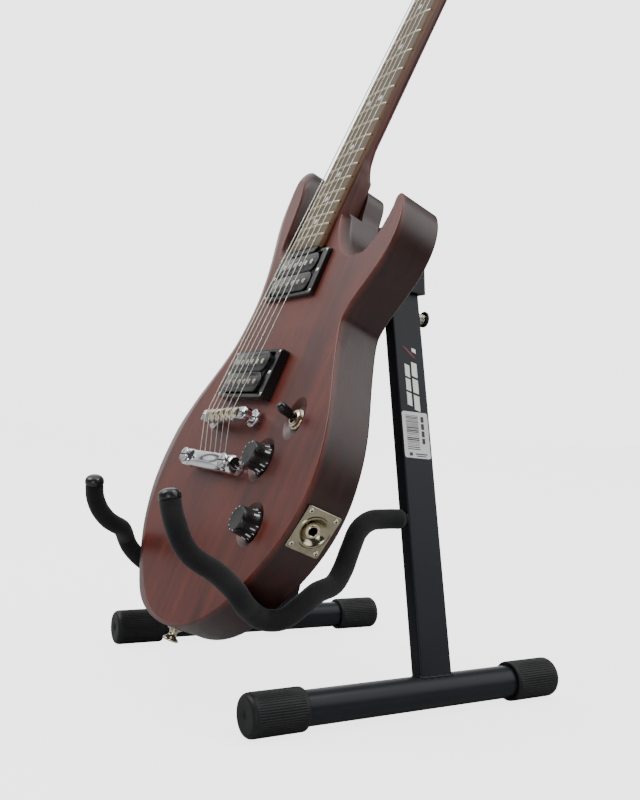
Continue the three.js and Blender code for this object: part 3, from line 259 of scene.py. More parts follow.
# ------------------------------------------------------------------ materials
class Mat:
    def __init__(self, name, rough=0.5, metal=0.0, color=(0.5, 0.5, 0.5), **kw):
        self.m = bpy.data.materials.new(name); self.m.use_nodes = True
        self.nt = self.m.node_tree
        self.b = self.nt.nodes['Principled BSDF']
        self.b.inputs['Base Color'].default_value = (*color, 1)
        self.b.inputs['Roughness'].default_value = rough
        self.b.inputs['Metallic'].default_value = metal
        for k, v in kw.items():
            self.b.inputs[k.replace('_', ' ')].default_value = v
        self.tc = self.nt.nodes.new('ShaderNodeTexCoord')
    def link(self, a, b): self.nt.links.new(a, b); return self
    def coords(self, scale=(1, 1, 1), rot=(0, 0, 0)):
        mp = self.nt.nodes.new('ShaderNodeMapping'); mp.inputs['Scale'].default_value = scale
        mp.inputs['Rotation'].default_value = [R(a) for a in rot]
        self.link(self.tc.outputs['Object'], mp.inputs['Vector']); return mp.outputs['Vector']
    def noise(self, scale, detail=4, rough=0.5, vec=None, dist=0.0):
        n = self.nt.nodes.new('ShaderNodeTexNoise'); n.inputs['Scale'].default_value = scale
        n.inputs['Detail'].default_value = detail; n.inputs['Roughness'].default_value = rough
        n.inputs['Distortion'].default_value = dist
        self.link(vec if vec is not None else self.tc.outputs['Object'], n.inputs['Vector']); return n.outputs['Fac']
    def voronoi(self, scale, vec=None, feature='F1'):
        n = self.nt.nodes.new('ShaderNodeTexVoronoi'); n.feature = feature; n.inputs['Scale'].default_value = scale
        self.link(vec if vec is not None else self.tc.outputs['Object'], n.inputs['Vector']); return n.outputs['Distance']
    def wave(self, scale, dist=0.0, detail=2, dscale=1.0, vec=None, direction='X', kind='BANDS', profile='SIN'):
        n = self.nt.nodes.new('ShaderNodeTexWave'); n.wave_type = kind; n.bands_direction = direction; n.wave_profile = profile
        n.inputs['Scale'].default_value = scale; n.inputs['Distortion'].default_value = dist
        n.inputs['Detail'].default_value = detail; n.inputs['Detail Scale'].default_value = dscale
        self.link(vec if vec is not None else self.tc.outputs['Object'], n.inputs['Vector']); return n.outputs['Fac']
    def ramp(self, fac, stops):
        r = self.nt.nodes.new('ShaderNodeValToRGB'); self.link(fac, r.inputs['Fac'])
        e = r.color_ramp.elements
        while len(e) < len(stops): e.new(0.5)
        for el, (p, c) in zip(e, stops):
            el.position = p; el.color = (*c, 1) if len(c) == 3 else c
        return r.outputs['Color']
    def rng(self, fac, lo, hi, a=0.0, b=1.0):
        r = self.nt.nodes.new('ShaderNodeMapRange'); self.link(fac, r.inputs['Value'])
        r.inputs['From Min'].default_value = a; r.inputs['From Max'].default_value = b
        r.inputs['To Min'].default_value = lo; r.inputs['To Max'].default_value = hi; return r.outputs['Result']
    def mix(self, fac, a, b, mode='MIX'):
        m = self.nt.nodes.new('ShaderNodeMix'); m.data_type = 'RGBA'; m.blend_type = mode
        if isinstance(fac, (int, float)): m.inputs['Factor'].default_value = fac
        else: self.link(fac, m.inputs['Factor'])
        for s, x in ((m.inputs[6], a), (m.inputs[7], b)):
            if isinstance(x, tuple): s.default_value = (*x, 1)
            else: self.link(x, s)
        return m.outputs[2]
    def math(self, op, a, b=None):
        m = self.nt.nodes.new('ShaderNodeMath'); m.operation = op
        for s, x in ((m.inputs[0], a), (m.inputs[1], b)):
            if x is None: continue
            if isinstance(x, (int, float)): s.default_value = x
            else: self.link(x, s)
        return m.outputs[0]
    def bump(self, h, dist=0.0001, strength=0.5, normal=None):
        n = self.nt.nodes.new('ShaderNodeBump'); n.inputs['Distance'].default_value = dist; n.inputs['Strength'].default_value = strength
        self.link(h, n.inputs['Height'])
        if normal is not None: self.link(normal, n.inputs['Normal'])
        return n.outputs['Normal']
    def color(self, c): return self.link(c, self.b.inputs['Base Color'])
    def rough(self, c): return self.link(c, self.b.inputs['Roughness'])
    def normal(self, c): return self.link(c, self.b.inputs['Normal'])
    def axis(self, k):
        s = self.nt.nodes.new('ShaderNodeSeparateXYZ'); self.link(self.tc.outputs['Object'], s.inputs[0]); return s.outputs[k]

def steel_paint():
    m = Mat('stand_paint', 0.34, 0.0, (0.02, 0.022, 0.024))
    m.b.inputs['Specular IOR Level'].default_value = 0.19
    n = m.noise(900, 3); big = m.noise(14, 3)
    dust = m.noise(260, 6, 0.7)
    c = m.mix(m.rng(big, 0.0, 1.0, 0.3, 0.75), (0.0115, 0.0135, 0.0178), (0.0165, 0.0190, 0.0240))
    c = m.mix(m.rng(dust, 0.0, 0.4, 0.74, 0.88), c, (0.045, 0.045, 0.044))
    m.color(c); m.rough(m.rng(big, 0.28, 0.42, 0.3, 0.7))
    m.normal(m.bump(n, 0.00006, 0.35)); return m.m

def foam():
    m = Mat('arm_foam', 0.92, 0.0, (0.012, 0.013, 0.015))
    m.b.inputs['Specular IOR Level'].default_value = 0.35
    m.b.inputs['Sheen Weight'].default_value = 0.12
    m.b.inputs['Sheen Roughness'].default_value = 0.5
    cells = m.voronoi(2600); n = m.noise(1500, 5, 0.65); big = m.noise(40, 3)
    c = m.mix(m.rng(n, 0, 1, 0.35, 0.7), (0.0042, 0.0045, 0.0055), (0.0115, 0.012, 0.0138))
    c = m.mix(m.rng(m.voronoi(420), 0.65, 0.0, 0.0, 0.09), c, (0.03, 0.031, 0.034))
    m.color(c); m.rough(m.rng(big, 0.84, 0.97, 0.3, 0.7))
    h = m.math('ADD', m.math('MULTIPLY', cells, 0.8), n)
    m.normal(m.bump(m.noise(55, 2), 0.0006, 0.35, m.bump(h, 0.00016, 0.6))); return m.m

def cap_plastic():
    m = Mat('end_cap_plastic', 0.5, 0.0, (0.012, 0.013, 0.015), Specular_IOR_Level=0.3)
    n = m.noise(1800, 4); big = m.noise(60, 3)
    m.color(m.mix(m.rng(big, 0, 1, 0.3, 0.75), (0.0055, 0.006, 0.0072), (0.0105, 0.0112, 0.0128)))
    m.rough(m.rng(big, 0.42, 0.58, 0.3, 0.7)); m.normal(m.bump(n, 0.00005, 0.5)); return m.m

def gloss_black(name='gloss_black', r=0.16, base=(0.008, 0.0085, 0.0095)):
    m = Mat(name, r, 0.0, base); big = m.noise(120, 4, 0.6)
    m.color(m.mix(m.rng(m.noise(700, 5, 0.7), 0, 1, 0.55, 0.8), base, tuple(min(1, c * 2.6) for c in base)))
    m.rough(m.rng(big, r * 0.75, r * 1.7, 0.3, 0.75)); m.normal(m.bump(m.noise(2200, 3), 0.00002, 0.3)); return m.m

def body_wood():
    m = Mat('body_stain', 0.38, 0.0, (0.06, 0.015, 0.01))
    m.b.inputs['Specular IOR Level'].default_value = 0.42
    m.b.inputs['Coat Weight'].default_value = 0.12
    m.b.inputs['Coat Roughness'].default_value = 0.3
    v = m.coords((1, 0.07, 1)); v2 = m.coords((1, 0.035, 1), (0, 0, 3))
    fine = m.noise(620, 5, 0.62, v, 0.2); mid = m.noise(95, 5, 0.6, v, 0.8); band = m.noise(21, 4, 0.55, v2, 1.2); cloud = m.noise(9, 3, 0.5)
    c = m.ramp(mid, [(0.28, (0.062, 0.0092, 0.0062)), (0.5, (0.115, 0.0185, 0.0115)), (0.72, (0.17, 0.033, 0.019))])
    c = m.mix(m.rng(band, 0.0, 0.8, 0.42, 0.70), c, (0.046, 0.0085, 0.0062))
    c = m.mix(m.rng(cloud, 0.0, 0.6, 0.45, 0.75), c, (0.19, 0.04, 0.021))
    pores = m.noise(1500, 2, 0.5, m.coords((1, 0.028, 1)))
    c = m.mix(m.rng(pores, 0.0, 0.8, 0.60, 0.72), c, (0.015, 0.004, 0.0036))
    c = m.mix(m.rng(fine, 0.0, 0.45, 0.5, 0.8), c, (0.028, 0.0062, 0.0045))
    # painted shade on the rim: the colour darkens towards the back, so the rim and the deep bass contour are darker
    # than the front, partly as an edge burst in the stain
    edge = m.rng(m.axis('Z'), 1.0, 0.0, -0.0055, -0.0002)
    c = m.mix(m.math('MULTIPLY', edge, 0.86), c, m.mix(m.rng(mid, 0, 1, 0.35, 0.75), (0.0075, 0.0032, 0.003), (0.022, 0.0058, 0.0046)))
    m.color(c); m.rough(m.rng(mid, 0.33, 0.45, 0.3, 0.7))
    h = m.math('ADD', m.math('MULTIPLY', pores, -0.6), m.math('MULTIPLY', fine, 0.4))
    m.normal(m.bump(h, 0.00012, 0.35)); return m.m

def neck_wood():
    m = Mat('neck_stain', 0.42, 0.0, (0.06, 0.015, 0.01))
    m.b.inputs['Coat Weight'].default_value = 0.12
    m.b.inputs['Coat Roughness'].default_value = 0.4
    v = m.coords((1, 0.05, 1))
    mid = m.noise(150, 5, 0.6, v, 0.6); fine = m.noise(900, 4, 0.6, v)
    c = m.ramp(mid, [(0.3, (0.045, 0.0085, 0.006)), (0.52, (0.088, 0.017, 0.0105)), (0.74, (0.13, 0.03, 0.017))])
    c = m.mix(m.rng(fine, 0.0, 0.6, 0.52, 0.76), c, (0.02, 0.0055, 0.004))
    m.color(c); m.rough(m.rng(mid, 0.36, 0.5, 0.3, 0.7)); m.normal(m.bump(fine, 0.0001, 0.3)); return m.m

def rosewood():
    m = Mat('fingerboard_wood', 0.55, 0.0, (0.1, 0.06, 0.035))
    v = m.coords((1, 0.045, 1))
    mid = m.noise(230, 6, 0.62, v, 1.0); fine = m.noise(1100, 4, 0.65, m.coords((1, 0.03, 1))); cloud = m.noise(16, 3)
    c = m.ramp(mid, [(0.28, (0.048, 0.030, 0.016)), (0.5, (0.105, 0.074, 0.038)), (0.75, (0.185, 0.142, 0.08))])
    c = m.mix(m.rng(cloud, 0.0, 0.6, 0.42, 0.7), c, (0.085, 0.052, 0.026))
    c = m.mix(m.rng(fine, 0.0, 0.85, 0.55, 0.72), c, (0.04, 0.021, 0.013))
    m.color(c); m.rough(m.rng(mid, 0.48, 0.66, 0.3, 0.7)); m.normal(m.bump(fine, 0.00014, 0.5)); return m.m

def board_edge():
    m = Mat('fingerboard_edge', 0.5, 0.0, (0.15, 0.07, 0.03))
    mid = m.noise(200, 5, 0.6, m.coords((1, 0.05, 1)), 0.8); fine = m.noise(1200, 4, 0.65, m.coords((1, 0.04, 1)))
    c = m.ramp(mid, [(0.3, (0.075, 0.030, 0.014)), (0.52, (0.15, 0.068, 0.030)), (0.75, (0.22, 0.115, 0.055))])
    c = m.mix(m.rng(fine, 0.0, 0.8, 0.55, 0.74), c, (0.03, 0.013, 0.008))
    m.color(c); m.rough(m.rng(mid, 0.42, 0.6, 0.3, 0.7)); m.normal(m.bump(fine, 0.00012, 0.45)); return m.m

def metal(name, col, r=0.12, tarnish=None, brush=False):
    m = Mat(name, r, 1.0, col)
    big = m.noise(150, 4, 0.6); n = m.noise(1400, 3, 0.6)
    t = tarnish or tuple(c * 0.72 for c in col)
    m.color(m.mix(m.rng(big, 0.0, 0.7, 0.45, 0.78), col, t))
    m.rough(m.rng(big, r * 0.7, r * 1.9, 0.3, 0.75))
    if brush: m.normal(m.bump(m.noise(1600, 2, 0.5, m.coords((1, 0.05, 0.05))), 0.00003, 0.35))
    else: m.normal(m.bump(n, 0.000015, 0.25))
    return m.m

def wound(name, col, pitch):
    m = Mat(name, 0.36, 1.0, col)
    w = m.wave(1.0 / pitch / 1.0 * 0.5, 0, 0, 1, None, 'Y')
    # painted shade: the grooves between the windings are coloured darker than the crowns
    m.color(m.mix(w, tuple(c * 0.78 for c in col), col)); m.rough(m.rng(w, 0.46, 0.34))
    m.normal(m.bump(w, 0.00004, 0.3)); return m.m

def pearl():
    m = Mat('inlay_pearl', 0.25, 0.0, (0.72, 0.72, 0.68))
    m.b.inputs['Coat Weight'].default_value = 0.5
    n = m.noise(420, 4, 0.6, None, 2.0)
    m.color(m.ramp(n, [(0.3, (0.55, 0.56, 0.55)), (0.5, (0.82, 0.8, 0.74)), (0.7, (0.62, 0.68, 0.66))]))
    m.rough(m.rng(n, 0.18, 0.34)); m.normal(m.bump(n, 0.00004, 0.3)); return m.m

def paint_white(name='mark_white', c=(0.78, 0.78, 0.76)):
    m = Mat(name, 0.5, 0.0, c); n = m.noise(900, 3)
    m.color(m.mix(m.rng(n, 0, 0.35, 0.5, 0.75), c, tuple(x * 0.7 for x in c))); m.rough(m.rng(n, 0.42, 0.6)); m.normal(m.bump(n, 0.00003, 0.3)); return m.m

PAINT, FOAM, CAP = steel_paint(), foam(), cap_plastic()
GLOSS = gloss_black()
PLAST = gloss_black('satin_black', 0.3, (0.010, 0.0105, 0.0115))
BOBBIN = gloss_black('bobbin_black', 0.14, (0.007, 0.0075, 0.0085))
KNOBM = gloss_black('knob_black', 0.22, (0.011, 0.0115, 0.0125))
TIPM = gloss_black('tip_black', 0.2, (0.014, 0.015, 0.017))
BODYM, NECKM, BOARD, EDGE = body_wood(), neck_wood(), rosewood(), board_edge()
CHROME = metal('chrome_plate', (0.78, 0.79, 0.81), 0.06, (0.62, 0.63, 0.66))
NICKEL = metal('nickel_warm', (0.76, 0.69, 0.53), 0.13, (0.60, 0.52, 0.37))
PLATE = metal('nickel_aged', (0.37, 0.335, 0.24), 0.13, (0.2, 0.17, 0.095))
SCREW = metal('screw_nickel', (0.75, 0.71, 0.6), 0.2)
FRETM = metal('fret_wire', (0.66, 0.63, 0.44), 0.2, (0.5, 0.46, 0.3), True)
ZINC = metal('zinc_bolt', (0.11, 0.115, 0.12), 0.34)
SPRING = metal('spring_wire', (0.72, 0.68, 0.56), 0.25)
PLAIN = metal('string_plain', (0.95, 0.92, 0.82), 0.3, (0.88, 0.84, 0.72))
WOUND = wound('string_wound', (0.95, 0.9, 0.78), 0.0011)
PEARL = pearl()
WHITE = paint_white('mark_white', (0.9, 0.9, 0.88))
LABEL = paint_white('label_paper', (0.72, 0.73, 0.72))
INK = paint_white('label_ink', (0.03, 0.03, 0.032))
MARK2 = paint_white('mark_dark_red', (0.22, 0.02, 0.025))
NUTM = gloss_black('nut_black', 0.35, (0.016, 0.016, 0.017))
# near-black used as painted shade in screw slots and fret slots, and also for the pickup coils and the socket bottom
DARK = gloss_black('socket_dark', 0.6, (0.004, 0.004, 0.004))
WELD = steel_paint(); WELD.name = 'weld_paint'

# ------------------------------------------------------------------ camera
c_cam = Vector((712.12 + SHIFT[0], -420.22 + SHIFT[1], 222.13)) * MM
az, pt, rl = R(60.58), R(1.14), R(2.97)
F = Vector((-math.sin(az) * math.cos(pt), math.cos(az) * math.cos(pt), math.sin(pt)))
R0 = Vector((math.cos(az), math.sin(az), 0)); U0 = R0.cross(F)
Rr = R0 * math.cos(rl) + U0 * math.sin(rl); Ur = -R0 * math.sin(rl) + U0 * math.cos(rl)
cam = bpy.data.objects.new('camera', bpy.data.cameras.new('camera'))
bpy.context.scene.collection.objects.link(cam)
mw = Matrix.Identity(4)
for i in range(3):
    mw[i][0], mw[i][1], mw[i][2], mw[i][3] = Rr[i], Ur[i], -F[i], c_cam[i]
cam.matrix_world = mw
cam.data.sensor_width = 36; cam.data.sensor_fit = 'AUTO'; cam.data.lens = 923.55 * 36 / 800
cam.data.clip_start = 0.01; cam.data.clip_end = 60
bpy.context.scene.camera = cam

# ================================================================== STAND
RIGHT, LEFT = 'right_leg_frame', 'left_leg_frame'
SIDE = {1: ('right', RIGHT), -1: ('left', LEFT)}

# head housing: open-bottomed sheet cap
def head():
    b, t, w0, w1, hy = HEAD_Z0, HEAD_Z1, HEAD_HW0, HEAD_HW1, HEAD_HY
    V = [(-w0, -hy, b), (w0, -hy, b), (w0, hy, b), (-w0, hy, b), (-w1, -hy, t), (w1, -hy, t), (w1, hy, t), (-w1, hy, t)]
    Fc = [[0, 1, 5, 4], [1, 2, 6, 5], [2, 3, 7, 6], [3, 0, 4, 7], [4, 5, 6, 7]]
    mb = MB().add((V, Fc))
    ob = make('head_shell', mb, SF, 'head', PAINT, 'head_housing', rec=True)
    bv = ob.modifiers.new('corner', 'BEVEL'); bv.width = 3.2 * MM; bv.segments = 5; bv.limit_method = 'ANGLE'; bv.angle_limit = R(40)
    so = ob.modifiers.new('sheet', 'SOLIDIFY'); so.thickness = 2.0 * MM; so.offset = -1
    b2 = ob.modifiers.new('lip', 'BEVEL'); b2.width = 0.45 * MM; b2.segments = 2; b2.limit_method = 'ANGLE'; b2.angle_limit = R(60)
    wn = ob.modifiers.new('wn', 'WEIGHTED_NORMAL')
    # pressed rib round the lower edge, on the outside
    for y, s in ((-hy, -1), (hy, 1)):
        mb = MB().add(prism(rrect(-w0 + 9, w0 - 9, 0, 3.2, 1.5), 0, 0.8))
        make('head_rib_%s' % ('front' if s < 0 else 'rear'), mb, SF @ T(0, y - (0.5 if s > 0 else -0.5), b + 3.0) @ (RX(90) if s < 0 else RX(-90) @ T(0, -3.2, 0)), 'head', PAINT, bevel=0.4, seg=2)
head()
# back rest pad
def pad():
    prof = [(-22.0, 342), (-27.6, 344), (-31.2, 347.6), (-32.7, 352.5), (-30.3, 361.0), (-27.6, 370.0), (-26.0, 374.9), (-24.0, 376.3), (-22.0, 376.3)]
    rings = []
    for x, k in ((-31, 0.90), (-30.4, 0.95), (-29, 0.985), (-26, 1.0), (-12, 1.0), (0, 1.0), (12, 1.0), (26, 1.0), (29, 0.985), (30.4, 0.95), (31, 0.90)):
        cy, cz = -26.5, 358.5
        rings.append([(x, cy + (y - cy) * k, cz + (z - cz) * k) for y, z in prof])
    ob = make('back_rest', MB().add(loft(rings)), SF, 'head', FOAM, 'back_rest_pad', ang=60, sub=1, bevel=0.8, seg=2, bang=50)
pad()
# pivot bolts
HEX = lambda r, z0, z1: prism(circle(r, 6), z0, z1)
for s in (1, -1):
    n = SIDE[s][0]
    mb = MB()
    mb.add(lathe([(0, 21.7), (9.0, 21.7), (9.3, 22.0), (9.3, 23.0), (9.0, 23.3), (0, 23.3)], 40))
    mb.add(HEX(6.6, 23.2, 26.9))
    mb.add(lathe([(0, 26.8), (4.4, 26.8), (4.1, 27.2), (0, 27.3)], 24))
    mb.add(lathe([(0, -19.1), (3.9, -19.1), (3.9, 23), (0, 23)], 24))
    mb.add(HEX(6.2, -19.2, -16.2))
    make('%s_pivot_hardware' % n, mb, SF @ T(s * PIVOT_X, 0, PIVOT_Z) @ RX(-90), 'head', ZINC, n + '_pivot_bolt', bevel=0.5, seg=2)
# lock plate with its arc slot keeps the frame's shape
for o in ('lock_plate',):
    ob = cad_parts[o]; ob.data.materials.clear(); ob.data.materials.append(PAINT)

def leg(s):
    n, body = SIDE[s]
    prof = rrect(-TUBE_T / 2, TUBE_T / 2, -TUBE_W / 2, TUBE_W / 2, 1.9, 5)
    mb = MB().add(prism(prof, -LEG_LEN + 3.5, 13))
    make(n + '_leg_tube', mb, LEGF[s], body, PAINT, n + '_leg', ang=30, wn=True, bevel=0.3, seg=1, bang=70)
    # fillet weld where the leg stands on the foot tube
    inv = FOOTF[s].inverted() @ LEGF[s]
    loop = []
    base = rrect(-TUBE_T / 2 - 0.2, TUBE_T / 2 + 0.2, -TUBE_W / 2 - 0.2, TUBE_W / 2 + 0.2, 1.9, 4)
    dense = []
    for i in range(len(base)):
        a, b = base[i], base[(i + 1) % len(base)]
        k = max(1, int(math.hypot(b[0] - a[0], b[1] - a[1]) / 1.3))
        for j in range(k): dense.append((a[0] + (b[0] - a[0]) * j / k, a[1] + (b[1] - a[1]) * j / k))
    for x, y in dense:
        z = -LEG_LEN
        for _ in range(80):
            p = inv @ Vector((x, y, z))
            if math.hypot(p.x, p.z) > TUBE_R - 0.2 and p.z > 0: break
            z += 0.25
        loop.append(Vector((x, y, z)))
    loop.append(loop[0])
    r2 = random.Random(3 + s)
    wob = [1.25 + 0.35 * math.sin(i * 1.25) + 0.2 * r2.random() for i in range(len(loop))]
    wob[-1] = wob[0]
    make(n + '_leg_weld', MB().add(tube(loop, lambda i, t: wob[i], 8, cap=False)), LEGF[s], body, WELD, ang=70)

def foot(s):
    n, body = SIDE[s]
    L = FOOT_HALF - 6
    V = lathe([(0, -L), (TUBE_R, -L), (TUBE_R, -L / 3), (TUBE_R, L / 3), (TUBE_R, L), (0, L)], 64)
    make(n + '_foot_bar', MB().add(V), FOOTF[s] @ RX(-90), body, PAINT, n + '_foot_tube', ang=40)
    for e, m in ((-1, 'front'), (1, 'rear')):
        ribs = 52
        o, i0 = FOOT_HALF, FOOT_HALF - CAP_LEN
        r = CAP_R - 0.06
        def rad(t, z, rr):
            lo, hi = i0 + 2.6, o - 3.4
            if rr < TUBE_R + 1.6: return 0
            k = max(0.0, min(1.0, (z - lo) / 1.2)) * max(0.0, min(1.0, (hi - z) / 3.0))
            w = math.cos(t * ribs)
            w = 1.0 if w < -0.55 else (0.0 if w > 0.1 else (0.1 - w) / 0.65)
            return -0.5 * k * w
        pts = [(TUBE_R + 0.1, i0 + 3), (TUBE_R + 0.15, i0 + 0.4), (r - 1.2, i0), (r - 0.5, i0 + 0.35), (r - 0.12, i0 + 1.1), (r - 0.1, i0 + 2.4), (r, i0 + 2.7), (r, i0 + 4.2), (r, i0 + 15), (r, i0 + 28), (r, o - 6.6), (r, o - 4.6), (r - 0.15, o - 3.3), (r - 0.7, o - 1.9), (r - 1.6, o - 0.8), (r - 2.7, o - 0.22), (r - 3.6, o - 0.1), (9.5, o - 0.35), (4.2, o - 0.6), (3.3, o - 0.75), (2.6, o - 1.3), (1.2, o - 1.55), (0, o - 1.6)]
        make('%s_%s_end_cap' % (n, m), MB().add(lathe(pts, ribs * 8, rad)), FOOTF[s] @ RX(-90 * e) , body, CAP, '%s_%s_foot_cap' % (n, m), ang=50)

ARM = [[96.1, 11.6, 144.0], [96.2, 4.8, 144.5], [96.6, -8.0, 144.6], [99.0, -23.3, 143.7], [103.0, -36.5, 136.8], [107.0, -45.4, 123.2], [110.0, -53.4, 107.9], [114.0, -63.0, 98.1], [119.0, -80.0, 93.6], [122.5, -93.5, 86.2], [121.0, -108.5, 76.5], [118.0, -122.1, 76.3], [121.5, -135.3, 84.3], [125.8, -143.8, 92.3], [124.8, -148.0, 98.4], [118.0, -152.2, 104.2], [109.0, -158.3, 110.6], [102.8, -166.6, 116.0], [100.8, -173.6, 121.3], [101.0, -181.3, 131.5], [99.9, -186.2, 143.7], [96.4, -188.2, 153.4], [94.6, -189.0, 161.0]]
LEFT_RISE = [0, 0, 0, 0, 0, 0, 0, 0, -0.6, -1.4, -1.2, -0.9, -0.2, 1.8, 3.6, 3.8, 3.0, 1.8, 1, 0, -1.5, -4, -5.5]
def arm(s):
    n, body = SIDE[s]
    P = catmull([(s * x, y, z + (LEFT_RISE[i] if s < 0 else 0)) for i, (x, y, z) in enumerate(ARM)], 16)
    foamP = part_of(P, 0.012, 0.9985, 190)
    r2 = random.Random(11 + s)
    ph = [r2.random() * 6 for _ in range(4)]
    def fr(i, t):
        e = min(i, 189 - i)
        k = 1 - 0.12 * max(0, 1 - e / 2.0) ** 2
        return (FOAM_R - 0.12 + 0.07 * math.sin(i * 0.21 + ph[0]) + 0.05 * math.sin(2 * t + i * 0.07 + ph[1])) * k
    ob = make(n + '_arm_sleeve', MB().add(tube(foamP, fr, 28)), ROOT, body, FOAM, n + '_arm_foam', ang=75)
    make(n + '_arm_bar', MB().add(tube(part_of(P, 0.0, 0.05, 12), ROD_R, 20)), ROOT, body, PAINT, n + '_arm_rod', ang=60)
    # weld bead at the root
    q = Vector(P[0]); ring = []
    for i in range(29):
        t = 2 * math.pi * i / 28
        ring.append(Vector((q.x + 4.6 * math.cos(t), q.y - 0.5 + 0.055 * 4.6 * math.sin(t), q.z + 4.6 * math.sin(t))))
    make(n + '_arm_weld', MB().add(tube(ring, lambda i, t: 1.15 + 0.25 * math.sin(i * 1.9), 8, cap=False)), ROOT, body, WELD, ang=70)
    e = Vector(P[-1]); d = (Vector(P[-1]) - Vector(P[-4])).normalized()
    M = T(*e) @ Vector((0, 0, 1)).rotation_difference(d).to_matrix().to_4x4()
    pts = [(0, -1.2), (7.9, -1.2), (8.25, -0.7), (8.3, 0.3), (8.25, 1.6), (8.0, 2.9), (7.4, 4.1), (6.5, 5.1), (5.2, 5.9), (3.6, 6.45), (1.8, 6.75), (0, 6.8)]
    make(n + '_arm_end', MB().add(lathe(pts, 40)), ROOT @ M, body, TIPM, n + '_arm_tip', ang=60)
for s in (1, -1):
    leg(s); foot(s); arm(s)
# lock pin with its spring
LS = math.hypot(PIVOT_X - (FOOT_X - LEG_SLOPE * LOCK_Z), PIVOT_Z - LOCK_Z)
LPF = LEGF[1] @ T(0, 0, -LS)
mb = MB().add(lathe([(0, -21.2), (3.6, -21.2), (4.3, -20.6), (4.3, -18.3), (4.1, -18.1), (2.45, -18.1), (2.45, 22.7), (0, 22.7)], 32), 0)
mb.add(lathe([(0, 22.6), (6.4, 22.6), (7.1, 22.9), (7.2, 23.5), (7.0, 24.4), (6.2, 25.0), (4.6, 25.3), (0, 25.35)], 40), 1)
make('lock_plunger', mb, LPF @ RX(-90), 'lock_release', [SCREW, GLOSS], 'lock_pin', ang=40)
coil = [(3.75 * math.cos(a), 16.1 + 5.85 * a / (2 * math.pi * 4.25), 3.75 * math.sin(a)) for a in [2 * math.pi * 4.25 * i / 150 for i in range(151)]]
ob = make('lock_coil', MB().add(tube(coil, 0.62, 8)), LPF, RIGHT, SPRING, 'lock_spring', ang=60)
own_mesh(ob)
make('lock_bush', MB().add(lathe([(2.6, 15.1), (5.6, 15.1), (5.6, 15.35), (5.2, 15.6), (2.6, 15.6)], 32)), LPF @ RX(-90), RIGHT, SCREW, ang=40)

# generic marks on the outer face of the right leg: a blank label and a plain stripe mark
def leg_marks():
    fx = TUBE_T / 2 + 0.06
    M = LEGF[1] @ T(fx, 0, 0) @ Matrix(((0, 0, 1, 0), (1, 0, 0, 0), (0, 1, 0, 0), (0, 0, 0, 1)))   # x: across (Y), y: up the leg, z: out
    def z_of(world_z): return -((365.2 - world_z) / math.cos(R(LEG_ANG)) / math.cos(R(LEG_LEAN)))
    z1, z0 = z_of(229.6), z_of(191.4)
    make('leg_label', MB().add(prism(rrect(-13.4, 12.8, z0, z1, 2.2), 0, 0.08)), M, RIGHT, LABEL, ang=30)
    mb = MB(); r2 = random.Random(5); y = z0 + 7.2
    while y < z1 - 3.4:
        w = r2.choice([0.4, 0.4, 0.75, 1.1]); mb.add(box(-9.8, 2.6, y, y + w, 0.08, 0.12)); y += w + r2.choice([0.45, 0.7, 0.95])
    for y0, y1 in ((z1 - 8.6, z1 - 3.6), (z1 - 15.0, z1 - 9.8), (z1 - 21.4, z1 - 16.2), (z1 - 27.4, z1 - 22.6)): mb.add(box(5.4, 8.4, y0, y1, 0.08, 0.12))
    mb.add(box(-8.6, -5.4, z0 + 1.8, z0 + 4.6, 0.08, 0.12)); mb.add(box(-2.6, 9.4, z0 + 3.0, z0 + 4.0, 0.08, 0.12)); mb.add(box(-1.4, 8.2, z0 + 1.4, z0 + 2.2, 0.08, 0.12))
    make('leg_label_bars', mb, M, RIGHT, INK, ang=30)
    mb = MB()
    a, b = z_of(285.6), z_of(231.8)
    k1 = a - (a - b) * 0.24
    for x0, x1, y1, y0 in ((-6.4, -1.6, k1 - 2.4, b + 4.0), (0.6, 6.2, k1, b)):
        for f0, f1 in ((0.0, 0.30), (0.35, 0.64), (0.69, 1.0)):
            t1, t0 = y1 - (y1 - y0) * f0, y1 - (y1 - y0) * f1
            mb.add(prism([(x0, t0), (x1, t0 - 1.4), (x1, t1 - 1.4), (x0, t1)], 0, 0.07), 0)
    mb.add(prism([(-7.4, a), (-3.8, a - 1.0), (6.4, k1 + 3.4), (2.8, k1 + 4.4)][::-1], 0, 0.07), 1)
    mb.add(prism([(2.2, a - 0.6), (6.4, a - 1.6), (6.4, a - 5.6), (2.2, a - 3.6)][::-1], 0, 0.07), 0)
    make('leg_stripes', mb, M, RIGHT, [WHITE, MARK2], ang=30)
leg_marks()

